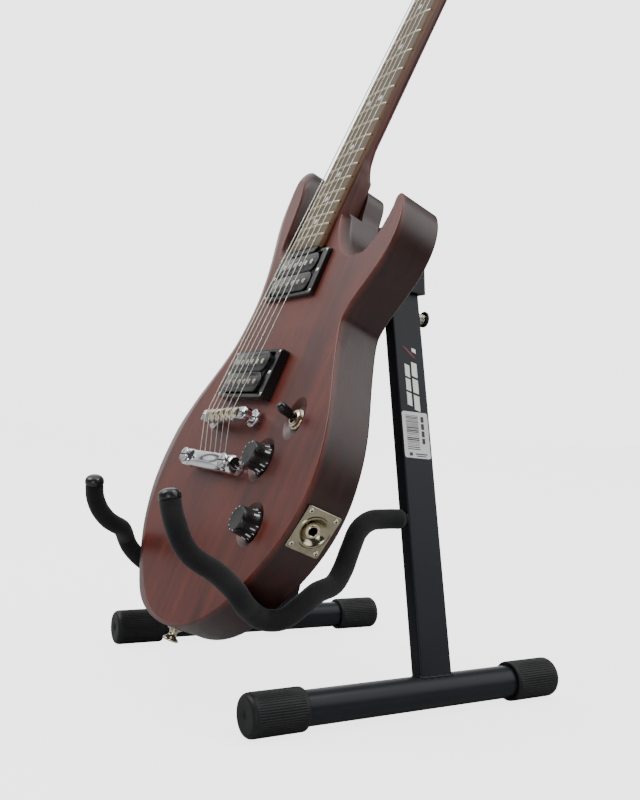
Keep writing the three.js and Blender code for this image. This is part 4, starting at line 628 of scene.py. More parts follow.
# ================================================================== GUITAR BODY
OUT = [(0, -337, 4, 3), (30, -335, 3, 2.5), (60, -327.5, 2, 2), (88, -313.5, 1.4, 1.4), (112, -294, 1.4, 1.4), (130, -273, 1.4, 1.4), (145, -252, 1.4, 1.4), (154.5, -231, 1.4, 1.4), (158.4, -210, 1.4, 1.4), (157.1, -190, 1.4, 1.4), (152.8, -171, 1.4, 1.4), (146, -153, 1.4, 1.4), (137.4, -136, 1.4, 1.4), (127.8, -118.5, 1.4, 1.4), (118.5, -100.5, 1.4, 1.4), (110.8, -84, 1.4, 1.4), (107.4, -72, 1.4, 1.4), (109.9, -62, 1.4, 1.4), (115.6, -51, 1.4, 1.4), (122.8, -39.5, 1.4, 1.4), (130.5, -25, 1.4, 1.4), (135, -9, 1.4, 1.4), (135.5, 6, 1.4, 1.4), (132.3, 19, 1.4, 1.4), (126.9, 29, 1.4, 1.4), (120.3, 35.5, 1.4, 1.4), (116, 33, 1.4, 1.4), (115.8, 24, 1.4, 1.4), (113.5, 14, 1.6, 1.6), (109, 5, 3, 3), (103, -1.5, 5, 5), (95, -6, 7.5, 7.5), (86, -7.5, 8, 8), (76, -6.5, 8, 8), (66, -2, 8, 8), (57, 5, 8, 8), (50, 13.5, 8, 8), (44.5, 22.5, 8, 8), (40, 31.5, 7, 7), (35.5, 40, 1, 1), (33, 50, 1, 1), (30.5, 59, 1, 1), (25.5, 66.5, 1, 1), (14.5, 71.6, 1, 1), (0, 73.2, 1, 1), (-14.5, 71.6, 1, 1), (-25.5, 66.5, 1, 1), (-30.5, 59, 1, 1), (-33, 50, 1, 1), (-35.5, 40, 1, 1), (-39, 31.5, 5, 5), (-42, 22.5, 6, 6), (-46, 14, 6, 6), (-51, 8.5, 6, 6), (-57, 8, 6, 6), (-62, 12, 5, 5), (-64.8, 20, 3, 3), (-66, 34, 2, 2), (-67.5, 52, 2, 2), (-70.5, 72, 2, 3)]
BASS = [(-77, 93, -77, 87, 8), (-87, 106, -84, 92, 11), (-98, 112.5, -90, 93, 13), (-107.2, 113, -92, 91, 13.6), (-114.6, 107, -92.8, 87, 14.3), (-120.3, 95, -92.1, 81, 15.2), (-123.5, 78, -90.2, 72, 16), (-123, 60, -88, 57, 16), (-118.5, 42, -83.5, 40, 16), (-111.5, 24, -77.5, 23, 16), (-105, 7, -71.5, 7, 16), (-100.5, -9, -67, -8, 16), (-97.5, -25, -63.5, -24, 16), (-96.5, -38, -61.5, -38, 16), (-98, -52, -62, -53.5, 16), (-101, -66, -64.5, -69, 16), (-105.3, -80, -68.9, -86, 15.8), (-113.5, -97, -78.6, -105, 14.9), (-124, -114, -90.8, -123, 13.7), (-136, -131, -102.4, -140, 13), (-147.3, -148, -111, -155.5, 13), (-157.7, -167, -116.5, -172, 13), (-162.3, -187, -120, -189, 13), (-163.8, -208, -121, -208, 13), (-160.4, -230, -120, -226, 13), (-150.5, -251, -116, -243, 12.5), (-137, -271, -109, -260, 12), (-118, -290.5, -97, -277.5, 11), (-96, -309.5, -80, -295, 9.5), (-66, -327, -56, -312.5, 7), (-32, -335, -28, -327, 4.5)]
CAV = [(60, -160), (78, -140), (112, -140), (122, -158), (128, -190), (127, -222), (116, -250), (98, -262), (80, -258), (62, -232), (52, -200)]
def grow(pts, d):
    cx = sum(p[0] for p in pts) / len(pts); cy = sum(p[1] for p in pts) / len(pts); o = []
    for x, y in pts:
        l = math.hypot(x - cx, y - cy); o.append((x + (x - cx) / l * d, y + (y - cy) / l * d))
    return o
def smooth_loop(pts, per=6): return [(p[0], p[1]) for p in catmull([(x, y, 0) for x, y in pts], per, True)]

def body_mesh():
    rows = []
    n0 = len(OUT)
    for x, y, w, d in OUT: rows.append([x, y, None, None, d, 0.0 if w < 2.5 else (0.62 if w > 4 else 0.62 * (w - 2) / 2.5)])
    for b in BASS: rows.append([b[0], b[1], b[2], b[3], b[4], 0.5])
    n = len(rows)
    for i, r in enumerate(rows):
        if r[2] is None:
            a, b = rows[(i - 1) % n], rows[(i + 1) % n]
            tx, ty = b[0] - a[0], b[1] - a[1]; l = math.hypot(tx, ty); w = OUT[i][2]
            r[2], r[3] = r[0] - ty / l * w, r[1] + tx / l * w
    PER = 6
    E = catmull([(r[0], r[1], -r[4]) for r in rows], PER, True)
    G = catmull([(r[2], r[3], 0) for r in rows], PER, True)
    K = np.clip(catmull([(r[5], 0, 0) for r in rows], PER, True)[:, 0], 0, 0.7)
    N = len(E)
    rings = []
    nxt, prv = np.roll(E, -1, 0), np.roll(E, 1, 0)
    tan = nxt - prv; tan[:, 2] = 0; tan /= np.linalg.norm(tan, axis=1)[:, None]
    inn = np.stack([-tan[:, 1], tan[:, 0], np.zeros(N)], 1)
    for a in (1.0, 0.72, 0.45, 0.2, 0.0):          # rounded back edge
        q = E.copy(); th = math.pi / 2 * a
        q[:, :2] += inn[:, :2] * (2.4 * (1 - math.cos(th))); q[:, 2] = -BODY_T + 2.4 * (1 - math.sin(th))
        rings.append(q)
    for f in (0.33, 0.66):
        q = E.copy(); q[:, 2] = (-BODY_T + 2.4) * (1 - f) + E[:, 2] * f; rings.append(q)
    S = 12
    for k in range(S + 1):                          # rim up to the flat front
        phi = math.pi / 2 * (1 - k / S)
        h = math.sin(phi); dz = 1 - math.cos(phi)
        mixd = dz * (1 - K) + h * K
        q = G + (E - G) * h; q[:, 2] = E[:, 2] * mixd; rings.append(q)
    V, Fc = loft([[tuple(p) for p in r] for r in rings])
    return V, Fc

def cutter(name, mb, M=GF):
    me = bpy.data.meshes.new(name); me.from_pydata([(p[0] * MM, p[1] * MM, p[2] * MM) for p in mb.v], [], mb.f)
    bm = bmesh.new(); bm.from_mesh(me); bmesh.ops.recalc_face_normals(bm, faces=bm.faces); bm.to_mesh(me); bm.free()
    ob = bpy.data.objects.new(name, me); bpy.context.scene.collection.objects.link(ob)
    W = M.copy(); W.translation = W.translation * MM; ob.matrix_world = W; return ob

body = make('guitar_body', MB().add(body_mesh()), GF, 'guitar', BODYM, 'body', ang=180)
A = MB().add(box(-28.0, 28.0, 1.4, 90, -18.3, 20))
for x, y in (VOL, TONE):
    A.add(lathe([(0, -4), (11.6, -4), (13.0, -3.7), (14.6, -2.6), (16.4, -1.0), (17.6, 0.0), (18.4, 0.5), (18.4, 3), (0, 3)], 64), 0, T(x, y, 0))
A.add(lathe([(0, -3.4), (9.6, -3.4), (10.6, -3.1), (12.5, -2.1), (15.2, -0.6), (16.5, 0.0), (17.6, 0.5), (17.6, 3), (0, 3)], 64), 0, T(TOGGLE[0], TOGGLE[1], 0) @ Matrix.Diagonal((0.86, 1.1, 1, 1)))
A.add(prism(smooth_loop(grow(CAV, 6.3)), -50, -BODY_T + 2))
B = MB().add(prism([(-60, 90), (-60, 60), (-41, 37), (-35.5, 32.5), (-28, 32.5), (28, 32.5), (35.5, 32.5), (41, 37), (60, 60), (60, 90)][::-1], -18.3, 20))
C = MB().add(box(0, 8, -JLEN / 2 - 0.35, JLEN / 2 + 0.35, -14.45, 14.45))
Dm = MB().add(lathe([(0, -34), (9.9, -34), (9.9, 4), (0, 4)], 40), 0, Matrix(((0, 0, 1, 0), (1, 0, 0, 0), (0, 1, 0, 0), (0, 0, 0, 1))))
cuts = [cutter('cut_a', A), cutter('cut_b', B), cutter('cut_c', C, JACKF), cutter('cut_d', Dm, JACKF)]
for c in cuts:
    md = body.modifiers.new('cut', 'BOOLEAN'); md.operation = 'DIFFERENCE'; md.solver = 'EXACT'; md.object = c
apply_mods(body)
for c in cuts: bpy.data.objects.remove(c)
body.data.shade_smooth(); body.data.set_sharp_from_angle(angle=R(38))
w = body.modifiers.new('wn', 'WEIGHTED_NORMAL'); w.keep_sharp = True; w.weight = 100
# rear control cover
make('rear_cover', MB().add(prism(smooth_loop(grow(CAV, 5.8)), -BODY_T + 0.1, -BODY_T + 1.7)), GF, 'guitar', PLAST, 'control_cover', bevel=0.4, seg=2)
mb = MB()
for x, y in ((72, -147), (122, -165), (129, -222), (90, -260), (54, -215)):
    mb.add(lathe([(0, -BODY_T - 0.35), (1.6, -BODY_T - 0.35), (2.8, -BODY_T + 0.1), (0, -BODY_T + 0.3)], 20), 0, T(x * 0.985 + 1.3, y * 0.985 - 3, 0))
make('rear_cover_screws', mb, GF, 'guitar', SCREW)

# ---- neck
def hw_at(v): return FB_HW0 + (FB_HW1 - FB_HW0) * (v / NUT_V)
def neck():
    st = [(3.3, 27.6, 32, 0.05), (40, 27.6, 32, 0.05), (66, 27.4, 32, 0.055), (70, 27.25, 30, 0.08), (74, 27.0, 25.4, 0.14), (78, 26.7, 21.4, 0.22), (84, 26.4, 19.8, 0.36), (92, None, 18.8, 0.55), (108, None, NECK_D, 0.8), (200, None, 17.8, 0.82), (330, None, 17.2, 0.82), (430, None, 17, 0.82), (455, None, 17.6, 0.8), (462, None, 18.8, 0.8), (468, None, 20.5, 0.8)]
    st = [(v, hw_at(v) if h is None else h, d, e) for v, h, d, e in st]
    vs = np.array([s[0] for s in st]); cols = [np.array([s[k] for s in st]) for k in (1, 2, 3)]
    vv = sorted(set([round(x, 2) for x in np.concatenate([np.linspace(3.3, 60, 12), np.linspace(62, 110, 34), np.linspace(112, 468, 46)])]))
    rings = []
    K = 240
    for v in vv:
        hw, d, e = (float(np.interp(v, vs, c)) for c in cols)
        raw = []
        for i in range(K + 1):
            t = math.pi * i / K; c, sn = math.cos(t), (math.sin(t) if i % K else 0.0)
            raw.append((-hw * (1 if c >= 0 else -1) * abs(c) ** e, -FB_T - GAP * 0.5 - (d - FB_T) * sn ** e))
        raw = resample(raw, 61)
        ring = []
        for x, z in raw:
            p = N2B @ Vector((x, v, z))
            if p.y < 74.0 and p.z < -18.0: p.z = -18.0
            ring.append(p)
        rings.append(ring)
    mb = MB().add(loft(rings, True, True))
    return mb
make('neck_shaft', neck(), GF, 'guitar', NECKM, 'neck', ang=42)
PEG = [(-22, -6), (22, -6), (23.5, 8), (29, 22), (35.5, 36), (38, 60), (38.5, 95), (39.5, 125), (38, 142), (31, 153), (18, 159.5), (0, 162), (-18, 159.5), (-31, 153), (-38, 142), (-39.5, 125), (-38.5, 95), (-38, 60), (-35.5, 36), (-29, 22), (-23.5, 8)]
def peg():
    P = [(22, -6)] + [tuple(p[:2]) for p in catmull([(x, y, 0) for x, y in PEG[2:]], 5)] + [(-22, -6)]
    mb = MB().add(prism(P, -HEAD_T, -1.2), 0)
    make('peghead_core', mb, HF, 'guitar', NECKM, bevel=1.6, seg=4, bang=50, wn=True)
    inner = [(x * 0.999, y) for x, y in P]
    make('peghead_face', MB().add(prism(inner, -1.25, 0)), HF, 'guitar', PLAST, bevel=0.7, seg=3, bang=50, wn=True)
    # volute behind the nut
    rings = []
    for i in range(13):
        u = i / 12; y = NUT_V - 14 + 30 * u; k = math.sin(math.pi * u)
        rings.append([Vector((-19 * math.cos(t) * (0.7 + 0.3 * k), y, -15.0 - 2.0 * u * 3 - (3.4 * k) * math.sin(t) - 1.5)) for t in [math.pi * j / 14 for j in range(15)]])
    mb = MB().add(loft([[N2B @ p for p in r] for r in rings], True, True, True))
    make('neck_volute', mb, GF, 'guitar', NECKM, ang=60)
    # plain bell-shaped cover over the truss rod end
    cov = [(-9.5, 9), (9.5, 9), (8.5, 18), (5.5, 27), (2.5, 33), (0, 34.5), (-2.5, 33), (-5.5, 27), (-8.5, 18)]
    make('truss_cover', MB().add(prism(cov, 0.02, 1.6)), HF, 'guitar', GLOSS, bevel=0.35, seg=2)
    mb = MB()
    for x, y in ((-6.5, 11.8), (6.5, 11.8), (0, 31.2)): mb.add(lathe([(0, 1.5), (1.7, 1.5), (1.4, 2.1), (0, 2.35)], 18), 0, T(x, y, 0))
    make('truss_cover_screws', mb, HF, 'guitar', SCREW)
peg()
# ---- fingerboard, frets, inlays
fretv = lambda n: SCALE * 2 ** (-n / 12) + BRIDGE_V
crown = lambda x, hw: -1.0 * (x / hw) ** 2
def board():
    vs = [0, 0.5] + list(np.linspace(6, NUT_V - 6, 40)) + [NUT_V - 0.8, NUT_V - 0.3]
    rings = []
    for v in vs:
        hw = hw_at(v); e = 0.5 if v in (0, vs[-1]) else 0.0
        ring = [(-hw + e, v, -FB_T - 0.1), (hw - e, v, -FB_T - 0.1), (hw - e * 0.5, v, -FB_T + 0.6), (hw - e * 0.5, v, crown(hw, hw) - 1.1), (hw - 0.25 - e * 0.5, v, crown(hw, hw) - 0.35), (hw - 0.9, v, crown(hw - 0.9, hw) - e * 0.6)]
        for i in range(1, 12):
            x = (hw - 0.9) * (1 - i / 6.0); ring.append((x, v, crown(x, hw) - e * 0.6))
        ring += [(-hw + 0.9, v, crown(hw - 0.9, hw) - e * 0.6), (-hw + 0.25 + e * 0.5, v, crown(hw, hw) - 0.35), (-hw + e * 0.5, v, crown(hw, hw) - 1.1), (-hw + e * 0.5, v, -FB_T + 0.6)]
        # the doubled last crown point is left out
        seen = []
        for p in ring:
            if not seen or (Vector(p) - Vector(seen[-1])).length > 1e-3: seen.append(p)
        rings.append(seen)
    ob = make('fingerboard_wood_strip', MB().add(loft(rings)), NF, 'guitar', BOARD, 'fingerboard', ang=38)
    ob.data.materials.append(EDGE)
    for p in ob.data.polygons:
        if abs(p.normal.x) > 0.8: p.material_index = 1
    # painted shade: near-black marks where the fret slots meet the edges of the board
    mb = MB()
    for n in range(1, 23):
        v = fretv(n); hw = hw_at(v)
        for s in (-1, 1): mb.add(box(*sorted((s * (hw - 0.4), s * (hw + 0.03))), v - 0.32, v + 0.32, -3.4, -1.35))
    make('fret_slots', mb, NF, 'guitar', DARK, ang=30)
    mb = MB()
    for n in range(1, 23):
        v = fretv(n); hw = hw_at(v) - 0.15; rings = []
        for i in range(17):
            x = -hw + 2 * hw * i / 16
            e = min(i, 16 - i); k = (0.35, 0.8, 1.0)[min(e, 2)]
            xx = x if e else x + (0.35 if i == 0 else -0.35)
            z0 = crown(x, hw_at(v)) - 0.25
            ring = [(xx, v + 1.15 * math.cos(t), z0 + 0.25 * 0 + (1.25 * k) * math.sin(t)) for t in [math.pi * j / 8 for j in range(9)]]
            rings.append(ring)
        mb.add(loft(rings))
    make('fret_wires', mb, NF, 'guitar', FRETM, ang=50)
    mb = MB(); sd = MB()
    for n in (3, 5, 7, 9, 12, 15, 17, 19, 21):
        v = (fretv(n) + fretv(n - 1)) / 2; hw = hw_at(v)
        for x in ((-9.5, 9.5) if n == 12 else (0,)):
            r = 2.75
            rings = [[(x + r * k * math.cos(t), v + r * k * math.sin(t), crown(x + r * k * math.cos(t), hw) + z) for t in [2 * math.pi * j / 28 for j in range(28)]] for k, z in ((1.0, -0.6), (1.0, 0.02), (0.97, 0.06))]
            mb.add(loft(rings))
        for x in ((-2.2, 2.2) if n == 12 else (0,)):
            sd.add(lathe([(0, -0.5), (0.95, -0.5), (0.95, 0.05), (0, 0.09)], 16), 0, T(-hw, v + x, -3.2) @ RY(-90))
    make('dot_inlays', mb, NF, 'guitar', PEARL, ang=40)
    make('side_dots', sd, NF, 'guitar', WHITE, ang=40)
board()
# black end block of the fingerboard over the neck pickup ring
make('board_end_block', MB().add(prism([(-21.5, -5.4), (21.5, -5.4), (25.6, -1.6), (25.6, -0.1), (-25.6, -0.1), (-25.6, -1.6)], 4.4, 6.0)), GF, 'guitar', GLOSS, bevel=0.5, seg=2)

# ---- nut
sx = lambda i, span: -span / 2 + span * i / 5
NUTSPAN, BRSPAN, TAILSPAN, SAD_W = 35, 50.5, 52, 4.3
nutW = lambda i: 1.95 - 0.9 * (sx(i, NUTSPAN) / 21) ** 2
sadW = lambda i: SAD_W - 1.2 * (sx(i, BRSPAN) / 26) ** 2
brSkew = lambda x: -162.2 + x * (2.2 / 37)
def nut():
    hw = hw_at(NUT_V) - 0.2; rings = []
    xs = []
    for i in range(6):
        x = sx(i, NUTSPAN); r = STRING_N[i] + 0.25
        xs += [(x - r - 0.05, 0), (x - r, 1), (x + r, 1), (x + r + 0.05, 0)]
    xs = [(-hw, 0), (-hw + 0.6, 0)] + xs + [(hw - 0.6, 0), (hw, 0)]
    for x, cut in xs:
        i = min(range(6), key=lambda k: abs(sx(k, NUTSPAN) - x))
        top = 2.6 - 1.2 * (x / hw) ** 2 - (0.5 if abs(abs(x) - hw) < 1e-6 else 0)
        z = (nutW(i) - STRING_N[i] - 0.05) if cut else top
        rings.append([(x, NUT_V + 0.1, -FB_T), (x, NUT_V + 5.1, -FB_T), (x, NUT_V + 5.1, min(z, top - 0.8) - 0.2), (x, NUT_V + 4.2, z), (x, NUT_V + 0.5, z), (x, NUT_V + 0.1, z - 0.3)])
    make('string_nut', MB().add(loft(rings)), NF, 'guitar', NUTM, 'nut', ang=35)
nut()

# ---- pickups
def screw_head(mb, x, y, z, r=1.9, mi=0, cross=True):
    mb.add(lathe([(0, z - 0.5), (r, z - 0.5), (r, z), (r * 0.85, z + r * 0.28), (r * 0.45, z + r * 0.42), (r * 0.3, z + r * 0.42), (r * 0.12, z + r * 0.12), (0, z + r * 0.12)], 24), mi, T(x, y, 0))

def pickup(y, n0, zlo, zhi, name):
    # ring, top sloping from the neck side to the bridge side
    hgt = lambda yy: zhi + (zlo - zhi) * (yy + 22.5) / 45.0
    o = rrect(-44.4, 44.4, -22.4, 22.4, 2.4, 5); i_ = rrect(-35.2, 35.2, -19.2, 19.2, 3.0, 5)
    sc = lambda pts, kx, ky, z=None: [(a * kx, b * ky, (hgt(b) if z is None else z)) for a, b in pts]
    rings = [sc(o, 1, 1, 0.05), [(a, b, hgt(b) - 1.2) for a, b in o], [(a * 0.9965, b * 0.993, hgt(b) - 0.35) for a, b in o], [(a * 0.989, b * 0.979, hgt(b)) for a, b in o], [(a * 1.012, b * 1.022, hgt(b)) for a, b in i_], [(a * 1.003, b * 1.006, hgt(b) - 0.25) for a, b in i_], [(a, b, hgt(b) - 0.8) for a, b in i_], sc(i_, 1, 1, 0.05)]
    V, Fc = loft(rings, False, False); n = len(o); k = len(rings) - 1
    for a in range(n): Fc.append([k * n + a, k * n + (a + 1) % n, (a + 1) % n, a])
    make(name + '_ring', MB().add((V, Fc)), GF @ T(0, y, 0.0), 'guitar', GLOSS, name + '_pickup_ring', ang=32)
    mb = MB()
    for x, yy in ((-41.5, -19.4), (41.5, -19.4), (-41.5, 19.4), (41.5, 19.4)): screw_head(mb, x, yy, hgt(yy), 1.35)
    for x in (-39.7, 39.7): screw_head(mb, x, 0, hgt(0), 2.0)
    make(name + '_ring_screws', mb, GF @ T(0, y, 0), 'guitar', SCREW, ang=40)
    # base plate and two bobbins
    mb = MB()
    mb.add(prism(rrect(-33.2, 33.2, -17.2, 17.2, 2), n0 - 14, n0 - 7.5), 1)
    mb.add(prism(rrect(-32.5, 32.5, -16.6, 16.6, 5), n0 - 7.6, n0 - 1.8), 2)
    for sg in (-1, 1):
        st = rrect(-34.3, 34.3, -8.85, 8.85, 8.8, 9)
        for z0, z1 in ((n0 - 2.2, n0), (n0 - 8.6, n0 - 7.2)):
            mb.add(loft([[(a, b + sg * 9.3, z0) for a, b in st], [(a, b + sg * 9.3, z1 - 0.35) for a, b in st], [(a * 0.994, b * 0.975 + sg * 9.3, z1 - 0.08) for a, b in st], [(a * 0.987, b * 0.95 + sg * 9.3, z1) for a, b in st]]), 0)
        # shallow raised panel of the bobbin top
        st2 = rrect(-31.2, 31.2, -4.6, 4.6, 4.4, 6)
        mb.add(loft([[(a, b + sg * 9.3, n0 - 0.1) for a, b in st2], [(a, b + sg * 9.3, n0 + 0.18) for a, b in st2], [(a * 0.995, b * 0.97 + sg * 9.3, n0 + 0.25) for a, b in st2]]), 0)
    make(name + '_bobbins', mb, GF @ T(0, y, 0), 'guitar', [BOBBIN, NICKEL, DARK], name + '_pickup', ang=35)
    mb = MB()
    for sg in (-1, 1):
        for i in range(6):
            x = sx(i, 49)
            if sg < 0:   # adjustable screws, slotted
                mb.add(lathe([(0, n0 - 1), (2.35, n0 - 1), (2.35, n0 + 0.55), (2.1, n0 + 0.8), (1.0, n0 + 0.86), (0, n0 + 0.86)], 26), 0, T(x, sg * 9.3, 0))
                # painted shade: a near-black bar on the head stands for the screw slot
                mb.add(box(x - 0.28, x + 0.28, sg * 9.3 - 2.2, sg * 9.3 + 2.2, n0 + 0.5, n0 + 0.885), 1)
            else:
                mb.add(lathe([(0, n0 - 1), (2.35, n0 - 1), (2.35, n0 + 0.4), (2.15, n0 + 0.6), (0, n0 + 0.64)], 26), 0, T(x, sg * 9.3, 0))
    make(name + '_poles', mb, GF @ T(0, y, 0), 'guitar', [SCREW, DARK], ang=40)
pickup(NECK_PU_U, 5.2, 3.7, 4.5, 'neck')
pickup(BRIDGE_PU_U, 11.2, 7.4, 9.3, 'bridge')

# ---- bridge
BANG = math.degrees(math.atan2(4.4, 74))
def bridge():
    M = GF @ T(0, -162.2, 0) @ RZ(BANG)
    b, t = BRIDGE_N - 4.6, BRIDGE_N + 3.0
    def sec(x, hy, z0, z1):
        r = 1.1
        return [(x, -hy, z0 + r), (x, -hy + r, z0), (x, hy - r, z0), (x, hy, z0 + r), (x, hy, z1 - r), (x, hy - r * 0.3, z1 - r * 0.3), (x, hy - r, z1), (x, -hy + r, z1), (x, -hy + r * 0.3, z1 - r * 0.3), (x, -hy, z1 - r)]
    rings = [sec(x, hy, z0, z1) for x, hy, z0, z1 in ((-42.4, 1.8, b + 1.6, t - 1.6), (-42.0, 3.0, b + 0.8, t - 0.8), (-41.0, 4.4, b + 0.2, t - 0.2), (-39.5, 5.3, b, t), (-33.0, 5.4, b, t), (-32.0, 5.4, b, t + 0.2), (-31, 5.2, b, t), (31, 5.2, b, t), (32.0, 5.4, b, t + 0.2), (33.0, 5.4, b, t), (39.5, 5.3, b, t), (41.0, 4.4, b + 0.2, t - 0.2), (42.0, 3.0, b + 0.8, t - 0.8), (42.4, 1.8, b + 1.6, t - 1.6))]
    mb = MB().add(loft(rings), 0)
    for i in range(6):
        x = sx(i, BRSPAN); q = N2B @ Vector((x, BRIDGE_V, sadW(i))); top = q.z - STRING_N[i] - 0.3
        off = (1.2, 0.5, -0.2, 0.9, 0.2, -0.6)[i]
        pr = [(-3.9, t - 1.2), (3.9, t - 1.2), (3.9, t + 0.4), (1.6 + off, top - 0.4), (0.4 + off, top), (-0.4 + off, top), (-1.6 + off, top - 0.4), (-3.9, t + 0.4)]
        mb.add(loft([[(x - 3.1, a, z) for a, z in pr], [(x - 2.9, a, z + 0.0) for a, z in pr], [(x - 0.8, a, z) for a, z in pr], [(x, a, z - (0.25 if z > top - 0.3 else 0)) for a, z in pr], [(x + 0.8, a, z) for a, z in pr], [(x + 3.1, a, z) for a, z in pr]]), 1)
        mb.add(lathe([(0, -6.9), (1.35, -6.9), (1.55, -6.6), (1.55, -5.5), (0.9, -5.4), (0.9, 5.2), (0, 5.2)], 18), 2, T(x, 0, t - 0.3) @ RX(-90))
        # painted shade: a near-black bar on the head stands for the screw slot
        mb.add(box(x - 1.2, x + 1.2, -7.0, -6.75, t - 0.45, t - 0.15), 3)
    make('bridge_bar', mb, M, 'guitar', [CHROME, NICKEL, SCREW, DARK], 'bridge_body', ang=32)
    for s, n in ((-1, 'bass'), (1, 'treble')):
        mb = MB().add(lathe([(0, -2), (3.0, -2), (3.0, 2.3), (6.8, 2.4), (7.7, 2.7), (8.0, 3.2), (8.0, 4.8), (7.7, 5.3), (6.8, 5.6), (3.1, 5.7), (3.1, BRIDGE_N - 4.7), (2.3, BRIDGE_N - 4.7), (2.3, BRIDGE_N + 3.2), (2.9, BRIDGE_N + 3.3), (2.9, BRIDGE_N + 3.5), (2.4, BRIDGE_N + 3.75), (0, BRIDGE_N + 3.8)], 48, lambda t_, z, r: 0.12 * math.cos(36 * t_) if r > 7.9 else 0), 0)
        # painted shade: a near-black bar on the top stands for the stud slot
        mb.add(box(-2.6, 2.6, -0.4, 0.4, BRIDGE_N + 3.4, BRIDGE_N + 3.83), 1)
        make(n + '_bridge_stud', mb, GF @ T(s * 37 * math.cos(R(BANG)), -162.2 + s * 37 * math.sin(R(BANG)), 0), 'guitar', [CHROME, DARK], n + '_bridge_post', ang=35)
bridge()
# ---- tailpiece
def tailpiece():
    prof = [(-8, 8.4), (-7.2, 6.9), (-5.4, 6.1), (-2, 6.0), (2.4, 6.0), (5.0, 6.6), (6.9, 8.2), (7.7, 10.4), (7.0, 12.8), (5.2, 14.6), (2.6, 15.5), (-0.8, 15.8), (-4.0, 15.3), (-6.6, 13.8), (-7.9, 11.6)]
    P = resample(np.vstack([catmull([(y, z, 0) for y, z in prof], 10, True), [[-8, 8.4, 0]]])[:, :2], 97)[:-1]
    cy, cz = -0.3, 10.9; rings = []
    ca, sa = math.cos(R(-9)), math.sin(R(-9))
    xs = [-51, -50.8, -50.3, -49.4, -48, -44, -40, -36.5, -36, -35.4, -34.9, -34.4] + list(np.linspace(-33, 33, 45)) + [34.4, 34.9, 35.4, 36, 36.5, 40, 44, 48, 49.4, 50.3, 50.8, 51]
    for x in xs:
        ax = abs(x)
        k = 1.0
        if ax < 34.5: k = 0.985 - 0.075 * (ax / 34.4) ** 2
        elif ax < 36.2: k = 0.91 + 0.09 * (ax - 34.4) / 1.8
        if ax > 48: k = 1.0 - 0.2 * ((ax - 48) / 3.0) ** 2.2
        top = 5.0 - 1.05 if ax < 34.5 else 9.0
        ring = []
        for y, z in P:
            y0, z0 = (y - cy) * k, (z - cz) * k
            u, w_ = y0 * ca + z0 * sa, -y0 * sa + z0 * ca
            tp = top if ax >= 34.5 else top + 0.5 - 1.5 * (x / 34.4) ** 2 - 0.5 * (u / 6.0) ** 2
            if w_ > tp: w_ = tp
            ring.append((x, cy + u * ca - w_ * sa, cz + u * sa + w_ * ca))
        rings.append(ring)
    make('tailpiece_bar', MB().add(loft(rings)), GF @ T(0, TAIL_U, 0), 'guitar', CHROME, 'tailpiece', ang=16)
    for s, n in ((-1, 'bass'), (1, 'treble')):
        mb = MB().add(lathe([(0, -2), (3.8, -2), (3.8, 0.1), (6.6, 0.15), (7, 0.6), (7, 2.0), (6.3, 5.2), (3.7, 5.4), (3.7, 15.6), (6.2, 15.7), (6.6, 16.1), (6.6, 17.4), (6.1, 18.2), (4.8, 18.6), (0, 18.75)], 44), 0)
        # painted shade: a near-black bar on the top stands for the stud slot
        mb.add(box(-5.4, 5.4, -0.55, 0.55, 18.2, 18.8), 1)
        make(n + '_tailpiece_screw', mb, GF @ T(s * 41, TAIL_U, 0), 'guitar', [CHROME, DARK], n + '_tailpiece_stud', ang=35)
tailpiece()

# ---- strings
NAMES = ['low_e_string', 'a_string', 'd_string', 'g_string', 'b_string', 'high_e_string']
TUNER_H, TUNER_X = [46, 82, 118], 24
def strings():
    for i in range(6):
        r = STRING_N[i] * (0.84 if i < 3 else 0.78)
        sad = N2B @ Vector((sx(i, BRSPAN), BRIDGE_V, sadW(i))); x0 = sx(i, TAILSPAN); k = brSkew(sx(i, BRSPAN))
        P = [(x0, TAIL_U - 4, 11.2), (x0, TAIL_U + 8.6, 11.2), (sad.x, k - 4.4, sad.z - 0.15), (sad.x, k - 1.4, sad.z - 0.02), (sad.x, k, sad.z)]
        nu = N2B @ Vector((sx(i, NUTSPAN), NUT_V, nutW(i))); nu.x = sx(i, NUTSPAN)
        n2 = N2B @ Vector((sx(i, NUTSPAN), NUT_V + 5.6, nutW(i) - 0.1))
        for t in (0.02, 0.1, 0.3, 0.5, 0.7, 0.9, 0.98): P.append((sad.x + (nu.x - sad.x) * t, k + (nu.y - k) * t, sad.z + (nu.z - sad.z) * t))
        P += [tuple(nu), tuple(n2)]
        s, h = (-1, TUNER_H[i]) if i < 3 else (1, TUNER_H[5 - i])
        end = H2B @ Vector((s * (TUNER_X - 3.2 - r - 0.35), h + 2.5, 5.6))
        for t in (0.03, 0.5, 0.95): P.append(tuple(Vector(P[len(P) - 1 - 0]) if False else Vector(n2) * (1 - t) + end * t))
        # windings round the post
        turns = 2.6; q = []
        for j in range(int(turns * 18) + 1):
            a = math.pi + (-1 if s < 0 else 1) * -1 * (2 * math.pi * j / 18)
            a = (math.pi if s > 0 else 0.0) + (1 if s < 0 else -1) * (2 * math.pi * j / 18)
            rr = 3.05 + r
            q.append(tuple(H2B @ Vector((s * TUNER_X + rr * math.cos(a), h + 2.5 - 2.5 * min(1, j / 6) + rr * math.sin(a), 5.6 - 2 * r * 1.02 * j / 18))))
        make('string_line_%d' % (i + 1), MB().add(tube(P, r, 8)).add(tube(q, r, 8)), GF, 'guitar', WOUND if i < 3 else PLAIN, NAMES[i], ang=60)
strings()

